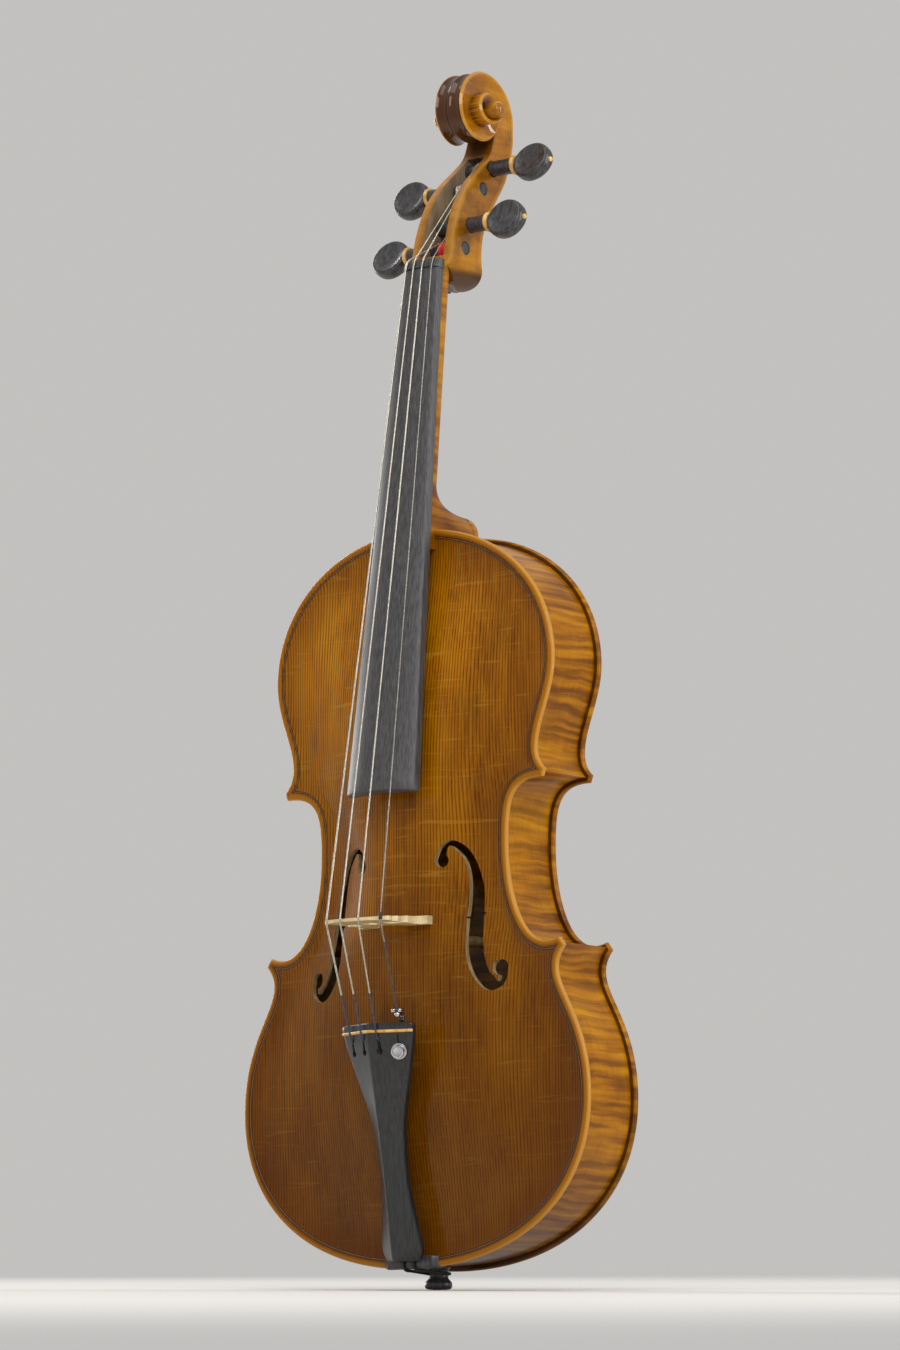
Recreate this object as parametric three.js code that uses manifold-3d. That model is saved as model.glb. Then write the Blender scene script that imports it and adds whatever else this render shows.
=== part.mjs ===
import * as THREE from "three";
import { mergeVertices } from "three/addons/utils/BufferGeometryUtils.js";
import Module from "manifold-3d";

// A viola, in millimetres. It stands on the flat tip of its end button: +Z up along the strings,
// -Y out of the front, +X towards the treble side, Y = 0 halfway through the ribs.

const wasm = await Module();
wasm.setup();

// Driving sizes of the body
const bodyLength = 410;
const ribHeight = 38;
const ribThickness = 1.3;
const plateEdge = 4.3;
const plateThickness = 3;
const frontArch = 14;
const backArch = 12.5;
const overhang = 3;
const buttonReach = 13.5;
const seat = 0.3; // gap between glued faces
const overrun = 4; // how far a cutter passes the face it cuts
const smallest = 0.02; // details finer than this are merged
const touching = 0.0001; // points nearer than this are one

const bodyBottom = buttonReach - overhang;
const bodyTop = bodyBottom + bodyLength;
const glueY = ribHeight / 2;
const edgeY = glueY + plateEdge;

// Half outline of the plates, heights counted from the plates' bottom edge
const lowerBout = { half: 122, upShare: 0.5253, bottomPull: 71.5, underPull: 56.2, overPull: 50 };
const waist = { half: 66, upShare: 0.6084, underPull: 26.9, overPull: 23.7 };
const upperBout = { half: 98.5, fromTop: 79.2, underPull: 24.8, overPull: 44.3, topPull: 58.1 };
const lowerCorner = {
  outerHalf: 105.7, outerHeight: 172.1, outerHeading: 46.4, outerPull: 26.3,
  innerHalf: 102.3, innerHeight: 176.6, innerHeading: 200.3, innerPull: 27.1,
};
const upperCorner = {
  innerHalf: 90.8, innerFromTop: 144.8, innerHeading: -1.3, innerPull: 22.6,
  outerHalf: 92.4, outerFromTop: 140.5, outerHeading: 139.5, outerPull: 21.1,
};
const lowerSteps = 13;
const waistSteps = 10;
const upperSteps = 12;
const boutSteps = { lower: lowerSteps, waist: waistSteps, upper: upperSteps };

// Sizes of the plates' margins
const edgeRound = 1;
const edgeBelly = 1.43;
const purfling = { inset: 4, width: 1.3, depth: 1.6, groove: 0.3, crestDrop: 0.7 };
const channel = { inset: 9.5, drop: 1.7 };
const spine = { fromBottom: 115, fromTop: 110, endDrop: 1.2 };
const archFullness = 0.82;
const archShares = [0.22, 0.45, 0.7, 1];
const hollowShares = [0.3, 0.6, 1];
const easing = 22; // passes that ease the corners out of the arch's contours on the way up

// Sizes of the blocks and linings
const lining = { thickness: 2.2, height: 7.5, extraGap: 0.5, fewerSteps: 4 };
const endBlock = { half: 25, depth: 17 };
const neckBlock = { half: 31, depth: 18 };
const cornerBlock = { reach: 24 };

// Sound post, bass bar and bridge
const stopShare = 0.5378; // of the body's length, from its top edge down to the bridge
const bridgeZ = bodyTop - bodyLength * stopShare;
const soundPost = { radius: 3.25, aside: 20.5, behind: 8.6, sides: 12 };
const bassBar = {
  lengthShare: 0.732, footShare: 0.134, width: 5.5, height: 11, endHeight: 3, aside: 18, slant: 2.4,
};
const bridge = {
  height: 40.2, footThickness: 4.8, topThickness: 1.7, crownRadius: 41, crownShift: 1.5, crownHalf: 21.5,
  footHalf: 24.3, ankleUp: 0.085, archUp: 0.09, footFrom: 0.48, footMiddle: 0.72,
};
const protector = { radius: 0.95, length: 4 };
const strings = {
  c: { radius: 0.58, place: -1.5, coilOffset: -3.4, coilWay: 1, look: "redSilk" },
  g: { radius: 0.5, place: -0.5, coilOffset: -1.2, coilWay: -1, look: "stringWire" },
  d: { radius: 0.45, place: 0.5, coilOffset: 1.6, coilWay: 1, look: "stringWire" },
  a: { radius: 0.38, place: 1.5, coilOffset: 6.2, coilWay: -1, look: "stringWire" },
};
const stringGap = { nut: 6.05, bridge: 12.4, tail: 10.7 };
const coil = { turns: 2, steps: 18, gap: 0.5, sides: 6 };
const ballRadius = 1.6;

// Neck, fingerboard and head
const neckLength = 150;
const boardTilt = THREE.MathUtils.degToRad(8);
const boardSetback = 7.2; // the fingerboard's face at the nut, behind the front edge of the body
const board = {
  length: 302, nutHalf: 12.4, endHalf: 24.2, radius: 41, flank: 5, lip: 3, hollow: 3.5, freeShare: 0.48,
};
const crownSteps = 8;
const nut = { length: 5.5, rise: 0.9, lean: 1.26 };
const neck = {
  depthAtNut: 19.5, depthAtHeel: 21.6, heelStart: 122, heelPull: 13, rootHalf: 16.8, rootLead: 1, tenon: 9,
  margin: 0.3, fullness: 2.2, rootFullness: 1.35, heelShare: 0.7,
};
const rootStops = [{ front: 0.66, back: 0.62 }, { front: 0.3, back: 0.28 }];
const neckStops = 3;
const heelStops = 5;
const button = { radius: 11.5, rise: 12.5, top: 1.2 };
const head = { eyeBack: 45.8, eyeUp: 95.8 };
const scroll = {
  radius: 29.5, decay: 0.1236, half: 9.2, spread: 0.0765, halfMost: 22.3, turns: 2.625, steps: 16,
  eyeRadius: 4.3, eyeHalf: 24, eyeSides: 14, flute: 1.5, chamfer: 1.2, hollow: 1.2, rimShare: 0.6,
  fluteShare: 0.28, ridgeShare: 0.2, fadeTurn: 1.2, throatTurn: 0.25, throatShare: 0.97,
};
const cavity = { nutHalf: 8.6, throatHalf: 6 };

// Pegs
const peg = {
  wide: 4.4, narrow: 3.7, clearance: 0.1, collar: 5.8, collarWidth: 2.2, collarAt: 26, headAt: 39.6,
  headRadius: 12.1, headLong: 1.06, headThick: 8, dishDepth: 1.7, neckRadius: 3.4, pin: 1.5, sides: 12,
  headSides: 14, endPlay: 0.4, dishShare: 0.55, rimShare: 0.85, dishLeft: 0.7,
};

// Tail
const tailpiece = {
  afterLength: 57, footZ: 14.4, headHalf: 24.8, headEdgeY: -53.8, footEdgeY: -31.4, ridge: 8.4, thickness: 3.4,
  fretBelow: 4.6, holesBelow: 15.6, vault: 1.5,
};
const fret = { width: 1.7, rise: 0.9 };
const keyhole = { radius: 1.75, slot: 0.9, length: 7, endHeight: 2 };
const saddle = { half: 19, depth: 7, rise: 2.6, round: 2.2, bevel: 0.66, fullShare: 0.82 };
const endButton = {
  cap: 7.6, waist: 5.4, flange: 6.6, plug: 4, plugEnd: 3.2, plugLength: 21, flangeWidth: 2, capWidth: 5,
};
const gut = { radius: 0.85, spread: 3.6, tuck: 30, sides: 6 };

// Fine tuner
const tuner = {
  screwRadius: 1.3, screwEnd: 7.3, screwGap: 0.1, headRadius: 3.7, headHeight: 2.6, headLip: 0.52, headFrom: -2.2,
  nutRadius: 4.6, nutHeight: 1.5, bossRadius: 2.3, plateAt: 4.1, plateThickness: 1.2, plateBack: -4.5,
  plateFront: 14, width: 7, earWidth: 1.2, earBack: 9.4, pivotY: 7.8, pivotZ: 11, pinRadius: 1, eyeRadius: 2,
  leverWidth: 3, leverDepth: 9.8, leverReach: 23.3, clawWidth: 6, clawTop: -2.4, clawFoot: 2.2, clawZ: 22,
  clawThickness: 1.3, stringY: -0.4,
};

// Finishes
const finish = {
  spruce: { color: 0x8a4b08, roughness: 0.22 },
  maple: { color: 0xb57a10, roughness: 0.22 },
  bareSpruce: { color: 0xd9bb85, roughness: 0.8 },
  bareWillow: { color: 0xcfae7c, roughness: 0.85 },
  ebony: { color: 0x202022, roughness: 0.45 },
  bridgeMaple: { color: 0xe6d3a8, roughness: 0.6 },
  boxwood: { color: 0xd9b063, roughness: 0.45 },
  purfling: { color: 0x1c120a, roughness: 0.5 },
  gut: { color: 0x141414, roughness: 0.6 },
  steel: { color: 0xb8b8b8, roughness: 0.25, metalness: 1 },
  stringWire: { color: 0xd8d4c4, roughness: 0.35, metalness: 0.8 },
  silk: { color: 0x34404e, roughness: 0.8 },
  redSilk: { color: 0xc8181a, roughness: 0.8 },
};

const group = new THREE.Group();
const treble = 1;
const bass = -1;

function add(name, geometry, look, parent = group) {
  const mesh = new THREE.Mesh(geometry, new THREE.MeshStandardMaterial(finish[look]));
  mesh.name = name;
  parent.add(mesh);
  return mesh;
}

// Solids

function solidFrom(geometry) {
  const bare = geometry.clone();
  bare.deleteAttribute("normal");
  bare.deleteAttribute("uv");
  const merged = mergeVertices(bare, touching);
  const solid = new wasm.Manifold(new wasm.Mesh({
    numProp: 3,
    vertProperties: new Float32Array(merged.attributes.position.array),
    triVerts: new Uint32Array(merged.index.array),
  }));
  return solid;
}

function geometryFrom(solid) {
  const mesh = solid.simplify(smallest).getMesh();
  const points = new Float32Array(mesh.numVert * 3);
  for (let i = 0; i < mesh.numVert; i++) {
    points.set(mesh.vertProperties.subarray(i * mesh.numProp, i * mesh.numProp + 3), i * 3);
  }
  const geometry = new THREE.BufferGeometry();
  geometry.setAttribute("position", new THREE.BufferAttribute(points, 3));
  geometry.setIndex(new THREE.BufferAttribute(new Uint32Array(mesh.triVerts), 1));
  geometry.computeVertexNormals();
  return geometry;
}

function union(...geometries) {
  return geometryFrom(geometries.map(solidFrom).reduce((sum, next) => sum.add(next)));
}

function cut(geometry, ...cutters) {
  return geometryFrom(cutters.reduce((rest, cutter) => rest.subtract(solidFrom(cutter)), solidFrom(geometry)));
}

// Triangles between rows of points, turned so that the closed surface faces out
function surface(triangles) {
  const flat = [];
  let volume = 0;
  for (const [a, b, c] of triangles) {
    if (Math.min(a.distanceTo(b), b.distanceTo(c), c.distanceTo(a)) < touching) continue;
    flat.push([a, b, c]);
    volume += a.dot(new THREE.Vector3().crossVectors(b, c));
  }
  const turned = volume < 0 ? flat.map(([a, b, c]) => [a, c, b]) : flat;
  const points = turned.flat().flatMap((p) => [p.x, p.y, p.z]);
  const geometry = new THREE.BufferGeometry();
  geometry.setAttribute("position", new THREE.Float32BufferAttribute(points, 3));
  return mergeVertices(geometry, touching);
}

function bandTriangles(rowA, rowB, around) {
  const out = [];
  const last = around ? rowA.length : rowA.length - 1;
  for (let i = 0; i < last; i++) {
    const j = (i + 1) % rowA.length;
    out.push([rowA[i], rowA[j], rowB[j]], [rowA[i], rowB[j], rowB[i]]);
  }
  return out;
}

function fanTriangles(row, centre) {
  return row.map((p, i) => [centre, p, row[(i + 1) % row.length]]);
}

// Evenly spaced numbers from one value to another
function spaced(from, to, steps) {
  return Array.from({ length: steps + 1 }, (_, i) => THREE.MathUtils.lerp(from, to, i / steps));
}

function middle(row) {
  return row.reduce((sum, p) => sum.add(p), new THREE.Vector3()).divideScalar(row.length);
}

// A closed loft through rings of equally many points
function loft(rings) {
  const out = [];
  for (let i = 0; i + 1 < rings.length; i++) out.push(...bandTriangles(rings[i], rings[i + 1], true));
  const first = rings[0];
  const last = rings[rings.length - 1];
  out.push(...fanTriangles([...first].reverse(), middle(first)));
  out.push(...fanTriangles(last, middle(last)));
  return surface(out);
}

// A polygon in X and Z drawn out along Y
function slab(points, fromY, toY, holes = []) {
  const shape = new THREE.Shape(points);
  shape.holes = holes.map((hole) => new THREE.Path(hole));
  const geometry = new THREE.ExtrudeGeometry(shape, { depth: toY - fromY, bevelEnabled: false });
  geometry.rotateX(Math.PI / 2);
  geometry.translate(0, toY, 0);
  return geometry;
}

function block(sizeX, sizeY, sizeZ, x, y, z) {
  return new THREE.BoxGeometry(sizeX, sizeY, sizeZ).translate(x, y, z);
}

// A lathe turned about a line along X, Y or Z; the profile is [radius, place along the line]
function turned(profile, sides, axis, x, y, z) {
  const geometry = new THREE.LatheGeometry(profile.map(([r, h]) => new THREE.Vector2(r, h)), sides);
  if (axis === "x") geometry.rotateZ(-Math.PI / 2);
  if (axis === "z") geometry.rotateX(Math.PI / 2);
  return geometry.translate(x, y, z);
}

function rod(radius, length, sides, axis, x, y, z) {
  return turned([[0, 0], [radius, 0], [radius, length], [0, length]], sides, axis, x, y, z);
}

// A route whose steps fall on its own points
class Route extends THREE.Curve {
  constructor(points) {
    super();
    this.points = points;
  }

  getPoint(share) {
    const place = share * (this.points.length - 1);
    const i = Math.min(Math.floor(place), this.points.length - 2);
    return new THREE.Vector3().lerpVectors(this.points[i], this.points[i + 1], place - i);
  }

  getPointAt(share) {
    return this.getPoint(share);
  }

  getTangentAt(share) {
    const last = this.points.length - 1;
    const i = Math.round(share * last);
    const before = this.points[Math.max(i - 1, 0)];
    const after = this.points[Math.min(i + 1, last)];
    return new THREE.Vector3().subVectors(after, before).normalize();
  }
}

function tube(points, radius, sides) {
  const ring = new THREE.Shape();
  for (let i = 0; i < sides; i++) {
    const turn = (2 * Math.PI * i) / sides;
    if (i === 0) ring.moveTo(radius * Math.cos(turn), radius * Math.sin(turn));
    else ring.lineTo(radius * Math.cos(turn), radius * Math.sin(turn));
  }
  const steps = points.length - 1;
  return new THREE.ExtrudeGeometry(ring, { steps, bevelEnabled: false, extrudePath: new Route(points) });
}

// Body outline

function aimed(x, z, heading, reach) {
  const turn = THREE.MathUtils.degToRad(heading);
  return new THREE.Vector2(x + reach * Math.cos(turn), z + reach * Math.sin(turn));
}

function chain(...curves) {
  const points = [];
  const fine = 36;
  curves.forEach((curve, i) => points.push(...curve.getPoints(fine).slice(i ? 1 : 0)));
  return points;
}

const V2 = (x, z) => new THREE.Vector2(x, z);
const upperHeight = bodyLength - upperBout.fromTop;
const upperInner = bodyLength - upperCorner.innerFromTop;
const upperOuter = bodyLength - upperCorner.outerFromTop;
const lowerHeight = lowerCorner.outerHeight * lowerBout.upShare;
const waistHeight = lowerCorner.innerHeight + (upperInner - lowerCorner.innerHeight) * waist.upShare;

const bouts = {
  lower: chain(
    new THREE.CubicBezierCurve(
      V2(0, 0), V2(lowerBout.bottomPull, 0),
      V2(lowerBout.half, lowerHeight - lowerBout.underPull), V2(lowerBout.half, lowerHeight),
    ),
    new THREE.CubicBezierCurve(
      V2(lowerBout.half, lowerHeight), V2(lowerBout.half, lowerHeight + lowerBout.overPull),
      aimed(lowerCorner.outerHalf, lowerCorner.outerHeight, lowerCorner.outerHeading, -lowerCorner.outerPull),
      V2(lowerCorner.outerHalf, lowerCorner.outerHeight),
    ),
  ),
  waist: chain(
    new THREE.CubicBezierCurve(
      V2(lowerCorner.innerHalf, lowerCorner.innerHeight),
      aimed(lowerCorner.innerHalf, lowerCorner.innerHeight, lowerCorner.innerHeading, lowerCorner.innerPull),
      V2(waist.half, waistHeight - waist.underPull), V2(waist.half, waistHeight),
    ),
    new THREE.CubicBezierCurve(
      V2(waist.half, waistHeight), V2(waist.half, waistHeight + waist.overPull),
      aimed(upperCorner.innerHalf, upperInner, upperCorner.innerHeading, -upperCorner.innerPull),
      V2(upperCorner.innerHalf, upperInner),
    ),
  ),
  upper: chain(
    new THREE.CubicBezierCurve(
      V2(upperCorner.outerHalf, upperOuter),
      aimed(upperCorner.outerHalf, upperOuter, upperCorner.outerHeading, upperCorner.outerPull),
      V2(upperBout.half, upperHeight - upperBout.underPull), V2(upperBout.half, upperHeight),
    ),
    new THREE.CubicBezierCurve(
      V2(upperBout.half, upperHeight), V2(upperBout.half, upperHeight + upperBout.overPull),
      V2(upperBout.topPull, bodyLength), V2(0, bodyLength),
    ),
  ),
};

// The left-hand normal of the outline points into the body
function inward(points, inset) {
  return points.map((p, i) => {
    const before = points[Math.max(i - 1, 0)];
    const after = points[Math.min(i + 1, points.length - 1)];
    const along = after.clone().sub(before).normalize();
    return new THREE.Vector2(p.x - along.y * inset, p.y + along.x * inset);
  });
}

function crossing(a, b, c, d) {
  const r = b.clone().sub(a);
  const s = d.clone().sub(c);
  const area = r.cross(s);
  if (Math.abs(area) < 1e-9) return null;
  const gap = c.clone().sub(a);
  const t = gap.cross(s) / area;
  const u = gap.cross(r) / area;
  return { t, u, point: a.clone().addScaledVector(r, t) };
}

// Two neighbouring curves are trimmed where they cross, or by the corner's own cut end
function trimPair(before, after, tip) {
  for (let i = before.length - 2; i > before.length / 2; i--) {
    for (let j = 0; j < after.length / 2; j++) {
      const hit = crossing(before[i], before[i + 1], after[j], after[j + 1]);
      if (hit && hit.t >= 0 && hit.t <= 1 && hit.u >= 0 && hit.u <= 1) {
        return [[...before.slice(0, i + 1), hit.point], [hit.point.clone(), ...after.slice(j + 1)]];
      }
    }
  }
  const end = crossing(before[before.length - 2], before[before.length - 1], tip[0], tip[1]).point;
  const start = crossing(after[1], after[0], tip[0], tip[1]).point;
  return [[...before.slice(0, -1), end], [start, ...after.slice(1)]];
}

function lengths(points) {
  const out = [0];
  for (let i = 1; i < points.length; i++) out.push(out[i - 1] + points[i].distanceTo(points[i - 1]));
  return out;
}

function pointAt(points, sums, reach) {
  let i = 1;
  while (i < points.length - 1 && sums[i] < reach) i++;
  const span = sums[i] - sums[i - 1];
  return points[i - 1].clone().lerp(points[i], span ? (reach - sums[i - 1]) / span : 0);
}

// Evenly stepped points of a curve, from one length along it to another
function stretch(points, steps, from = 0, back = 0) {
  const sums = lengths(points);
  const whole = sums[sums.length - 1];
  const out = [];
  for (let i = 0; i <= steps; i++) {
    out.push(pointAt(points, sums, from + ((whole - from - back) * i) / steps));
  }
  return out;
}

function offsetTip(a, b, inset) {
  const along = b.clone().sub(a).normalize();
  const shift = new THREE.Vector2(-along.y, along.x).multiplyScalar(inset);
  return [a.clone().add(shift), b.clone().add(shift)];
}

// The three curves of the treble half, moved inwards and trimmed at the corners
function curvesAt(inset) {
  const lower = inward(bouts.lower, inset);
  const mid = inward(bouts.waist, inset);
  const upper = inward(bouts.upper, inset);
  const lowTip = offsetTip(bouts.lower[bouts.lower.length - 1], bouts.waist[0], inset);
  const highTip = offsetTip(bouts.waist[bouts.waist.length - 1], bouts.upper[0], inset);
  const [lowerTrim, midStart] = trimPair(lower, mid, lowTip);
  const [midTrim, upperTrim] = trimPair(midStart, upper, highTip);
  return { lower: lowerTrim, waist: midTrim, upper: upperTrim };
}

// The whole loop of the outline, from bottom centre up the treble side and down the bass side
function loop(inset) {
  const curves = curvesAt(inset);
  const half = [
    ...stretch(curves.lower, boutSteps.lower),
    ...stretch(curves.waist, boutSteps.waist),
    ...stretch(curves.upper, boutSteps.upper),
  ];
  half[0].x = 0;
  half[half.length - 1].x = 0;
  const other = half.slice(1, -1).reverse().map((p) => new THREE.Vector2(-p.x, p.y));
  return [...half, ...other].map((p) => new THREE.Vector2(p.x, p.y + bodyBottom));
}

const halfCount = boutSteps.lower + boutSteps.waist + boutSteps.upper + 3;

// Where each point of the loop meets the arch's spine
function spineLoop() {
  const outer = loop(0);
  const sums = lengths(outer.slice(0, halfCount));
  const whole = sums[sums.length - 1];
  const low = bodyBottom + spine.fromBottom;
  const high = bodyTop - spine.fromTop;
  const half = sums.map((s) => new THREE.Vector2(0, low + ((high - low) * s) / whole));
  return [...half, ...half.slice(1, -1).reverse().map((p) => p.clone())];
}

// Plates

// A closed row of points with its corners eased, more so with each pass
function eased(points, passes) {
  let row = points;
  for (let pass = 0; pass < passes; pass++) {
    row = row.map((p, i) => {
      const before = row[(i + row.length - 1) % row.length];
      const after = row[(i + 1) % row.length];
      return before.clone().lerp(after, 1 / 2).lerp(p, 1 / 2);
    });
  }
  return row;
}

function archHeight(share, place, arch) {
  const along = place * 2 - 1;
  const crown = plateEdge + arch - spine.endDrop * along * along;
  const low = plateEdge - channel.drop;
  return low + (crown - low) * (1 - Math.cos(Math.PI * share ** archFullness)) / 2;
}

// One plate; side is -1 for the front and 1 for the back
function plate(side, arch) {
  const ends = spineLoop();
  const inner = loop(channel.inset);
  const lowEnd = ends[0].y;
  const highEnd = ends[halfCount - 1].y;
  const y = (height) => side * (glueY + height);
  const ring = (inset, height) => loop(inset).map((p) => new THREE.Vector3(p.x, y(height), p.y));
  const archRing = (share, lift) => eased(inner, Math.round(share * easing)).map((p, i) => {
    const at = p.clone().lerp(ends[i], share);
    const place = (ends[i].y - lowEnd) / (highEnd - lowEnd);
    return new THREE.Vector3(at.x, y(Math.max(archHeight(share, place, arch) - lift, 0)), at.y);
  });
  const grooveOut = purfling.inset - purfling.groove;
  const grooveIn = purfling.inset + purfling.width + purfling.groove;
  const crest = plateEdge - purfling.crestDrop;
  const grooveFloor = crest - purfling.depth - purfling.groove;
  const rows = [
    ring(edgeRound / 2, 0),
    ring(0, edgeBelly),
    ring(edgeRound / 2, plateEdge),
    ring(edgeRound * 2, plateEdge),
    ring(grooveOut, crest),
    ring(grooveOut, grooveFloor),
    ring(grooveIn, grooveFloor),
    ring(grooveIn, crest - purfling.crestDrop / 2),
    inner.map((p) => new THREE.Vector3(p.x, y(plateEdge - channel.drop), p.y)),
    ...archShares.map((share) => archRing(share, 0)),
  ];
  const under = [
    inner.map((p) => new THREE.Vector3(p.x, y(0), p.y)),
    ...hollowShares.map((share) => archRing(share, plateThickness)),
  ];
  const out = [];
  for (let i = 0; i + 1 < rows.length; i++) out.push(...bandTriangles(rows[i], rows[i + 1], true));
  out.push(...bandTriangles(under[0], rows[0], true));
  for (let i = 0; i + 1 < under.length; i++) out.push(...bandTriangles(under[i + 1], under[i], true));
  return surface(out);
}

function purflingStrip(side) {
  const top = plateEdge - purfling.crestDrop;
  const y = (height) => side * (glueY + height);
  const ring = (inset, height) => loop(inset).map((p) => new THREE.Vector3(p.x, y(height), p.y));
  const rows = [
    ring(purfling.inset, top - purfling.depth),
    ring(purfling.inset, top),
    ring(purfling.inset + purfling.width, top - purfling.crestDrop / 2),
    ring(purfling.inset + purfling.width, top - purfling.depth),
  ];
  const out = [];
  rows.forEach((row, i) => out.push(...bandTriangles(row, rows[(i + 1) % rows.length], true)));
  return surface(out);
}

// Height of a plate's surface at a place, met from outside (1) or from inside (-1)
function surfaceProbe(geometry, side) {
  const mesh = new THREE.Mesh(geometry, new THREE.MeshBasicMaterial({ side: THREE.DoubleSide }));
  const far = glueY + plateEdge + Math.max(frontArch, backArch) + overrun;
  return (x, z, from) => {
    const start = from > 0 ? side * far : 0;
    const aim = new THREE.Vector3(0, from > 0 ? -side : side, 0);
    const ray = new THREE.Raycaster(new THREE.Vector3(x, start, z), aim);
    return ray.intersectObject(mesh)[0].point.y;
  };
}

const frontPlate = plate(-1, frontArch);
const backPlate = plate(1, backArch);
const frontAt = surfaceProbe(frontPlate, -1);
const backAt = surfaceProbe(backPlate, 1);

// The f-hole of the treble side: an eye at each end, a hook at each, and the notched stem between them.
// Places are shares of the sound hole's own box, across from the centreline side and up from its foot.
const soundHole = {
  inner: 24.6, width: 44.6, foot: 149.3, height: 84, upperEye: 3.8, lowerEye: 4.5, notch: 1.5,
};
const hookOuterShares = [
  [0.005, 0.86], [0.02, 0.91], [0.075, 0.965], [0.175, 1], [0.3, 0.985], [0.42, 0.93], [0.52, 0.83],
  [0.6, 0.69], [0.625, 0.55], [0.64, 0.42], [0.68, 0.25], [0.755, 0.135], [0.84, 0.085], [0.875, 0.06],
];
const hookInnerShares = [
  [0.86, 0.065], [0.905, 0.115], [0.99, 0.14], [0.995, 0.08], [0.93, 0.025], [0.8, 0], [0.67, 0.025],
  [0.55, 0.1], [0.47, 0.2], [0.435, 0.32], [0.43, 0.45], [0.435, 0.6], [0.415, 0.76], [0.355, 0.87],
  [0.26, 0.935], [0.185, 0.965], [0.15, 0.93], [0.13, 0.885],
];

const notchShares = [[0.425, 0.488], [0.632, 0.512]];

function soundHoleCutter(hand) {
  const place = ([across, up]) => new THREE.Vector2(
    hand * (soundHole.inner + soundHole.width * across),
    bodyBottom + soundHole.foot + soundHole.height * up,
  );
  const stem = [...hookOuterShares, ...hookInnerShares].map(place);
  const from = -(edgeY + frontArch + overrun);
  const eye = (radius, across, up) => {
    const at = place([across, up]);
    return rod(radius, -glueY - from + overrun, 14, "y", at.x, from, at.y);
  };
  const upperEye = eye(soundHole.upperEye, soundHole.upperEye / soundHole.width, 0.868);
  const lowerEye = eye(soundHole.lowerEye, 1 - soundHole.lowerEye / soundHole.width, 0.15);
  const notches = notchShares.map((share) => {
    const at = place(share);
    const deep = soundHole.notch / 2;
    return slab([
      V2(at.x - soundHole.notch, at.y), V2(at.x, at.y - deep),
      V2(at.x + soundHole.notch, at.y), V2(at.x, at.y + deep),
    ], from, -glueY + overrun);
  });
  return union(slab(stem, from, -glueY + overrun), upperEye, lowerEye, ...notches);
}

// Board, nut and neck lie in a tilted frame: depth back from the board's face, reach down from the nut
const nutY = boardSetback - edgeY;
const nutZ = bodyTop + neckLength;

function onBoard(depth, reach) {
  return new THREE.Vector2(
    nutY + depth * Math.cos(boardTilt) - reach * Math.sin(boardTilt),
    nutZ - depth * Math.sin(boardTilt) - reach * Math.cos(boardTilt),
  );
}

function boardHalf(reach) {
  return board.nutHalf + ((board.endHalf - board.nutHalf) * reach) / board.length;
}

function boardRise(x) {
  return board.radius - Math.sqrt(board.radius ** 2 - x ** 2);
}

function boardUnder(reach) {
  return boardRise(boardHalf(Math.max(reach, 0))) + board.flank;
}

function boardRing(reach, hollowed) {
  const half = boardHalf(reach);
  const top = spaced(half, -half, crownSteps).map((x) => {
    const at = onBoard(boardRise(x), reach);
    return new THREE.Vector3(x, at.x, at.y);
  });
  const underAt = (x, lift) => {
    const at = onBoard(boardUnder(reach) - lift, reach);
    return new THREE.Vector3(x, at.x, at.y);
  };
  const lip = half - board.lip;
  const lift = hollowed ? board.hollow : 0;
  return [...top, underAt(-half, 0), underAt(-lip, 0), underAt(-lip / 2, lift), underAt(lip / 2, lift),
    underAt(lip, 0), underAt(half, 0)];
}

const freeFrom = board.length * board.freeShare;
const boardMesh = loft([
  boardRing(0, false), boardRing(freeFrom, false), boardRing(freeFrom + board.flank, true),
  boardRing(board.length, true),
]);

// A section across the neck: its front is flat, its back runs from an arc to a straight taper
function neckRing(front, back, frontHalf, backHalf, fullness) {
  const steps = 5;
  const right = [];
  for (let i = 0; i <= steps; i++) {
    const turn = (Math.PI / 2) * (i / steps);
    const down = Math.sin(turn) ** (2 / fullness);
    const out = backHalf + (frontHalf - backHalf) * Math.cos(turn) ** (2 / fullness);
    right.push([out, front.clone().lerp(back, down)]);
  }
  const left = [...right].reverse().map(([x, at]) => [-x, at]);
  return [...right, ...left].map(([x, at]) => new THREE.Vector3(x, at.x, at.y));
}

const ribTop = bodyTop - overhang;
const buttonCentre = bodyTop + button.rise - button.radius;

function buttonHalf(z) {
  const up = Math.max(z - buttonCentre, 0);
  return Math.sqrt(Math.max(button.radius ** 2 - up ** 2, 0));
}

const gluePlane = (reach) => onBoard(boardUnder(reach) + seat, reach);
const heelBack = glueY - seat;
const heelTip = new THREE.Vector2(heelBack, bodyTop + button.rise - button.top);
const heelRoot = new THREE.Vector2(heelBack, ribTop);
const heelFrom = onBoard(neck.depthAtHeel, neck.heelStart);
const heelCurve = new THREE.CubicBezierCurve(
  heelFrom,
  onBoard(neck.depthAtHeel, neck.heelStart + neck.heelPull),
  new THREE.Vector2(heelBack - neck.heelPull, heelTip.y + neck.heelPull / 6),
  heelTip,
);
const rootReach = (bodyTop - ribTop + neckLength) / Math.cos(boardTilt);

function rootRing(z, backZ, grow) {
  const reach = (nutZ - z) / Math.cos(boardTilt) - neck.rootLead;
  const front = gluePlane(reach);
  front.y = z;
  front.x -= grow;
  const backHalf = Math.max(buttonHalf(backZ) - neck.margin, 0);
  const back = new THREE.Vector2(heelBack + grow, backZ);
  return neckRing(front, back, neck.rootHalf + grow, backHalf + grow, neck.rootFullness);
}

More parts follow.
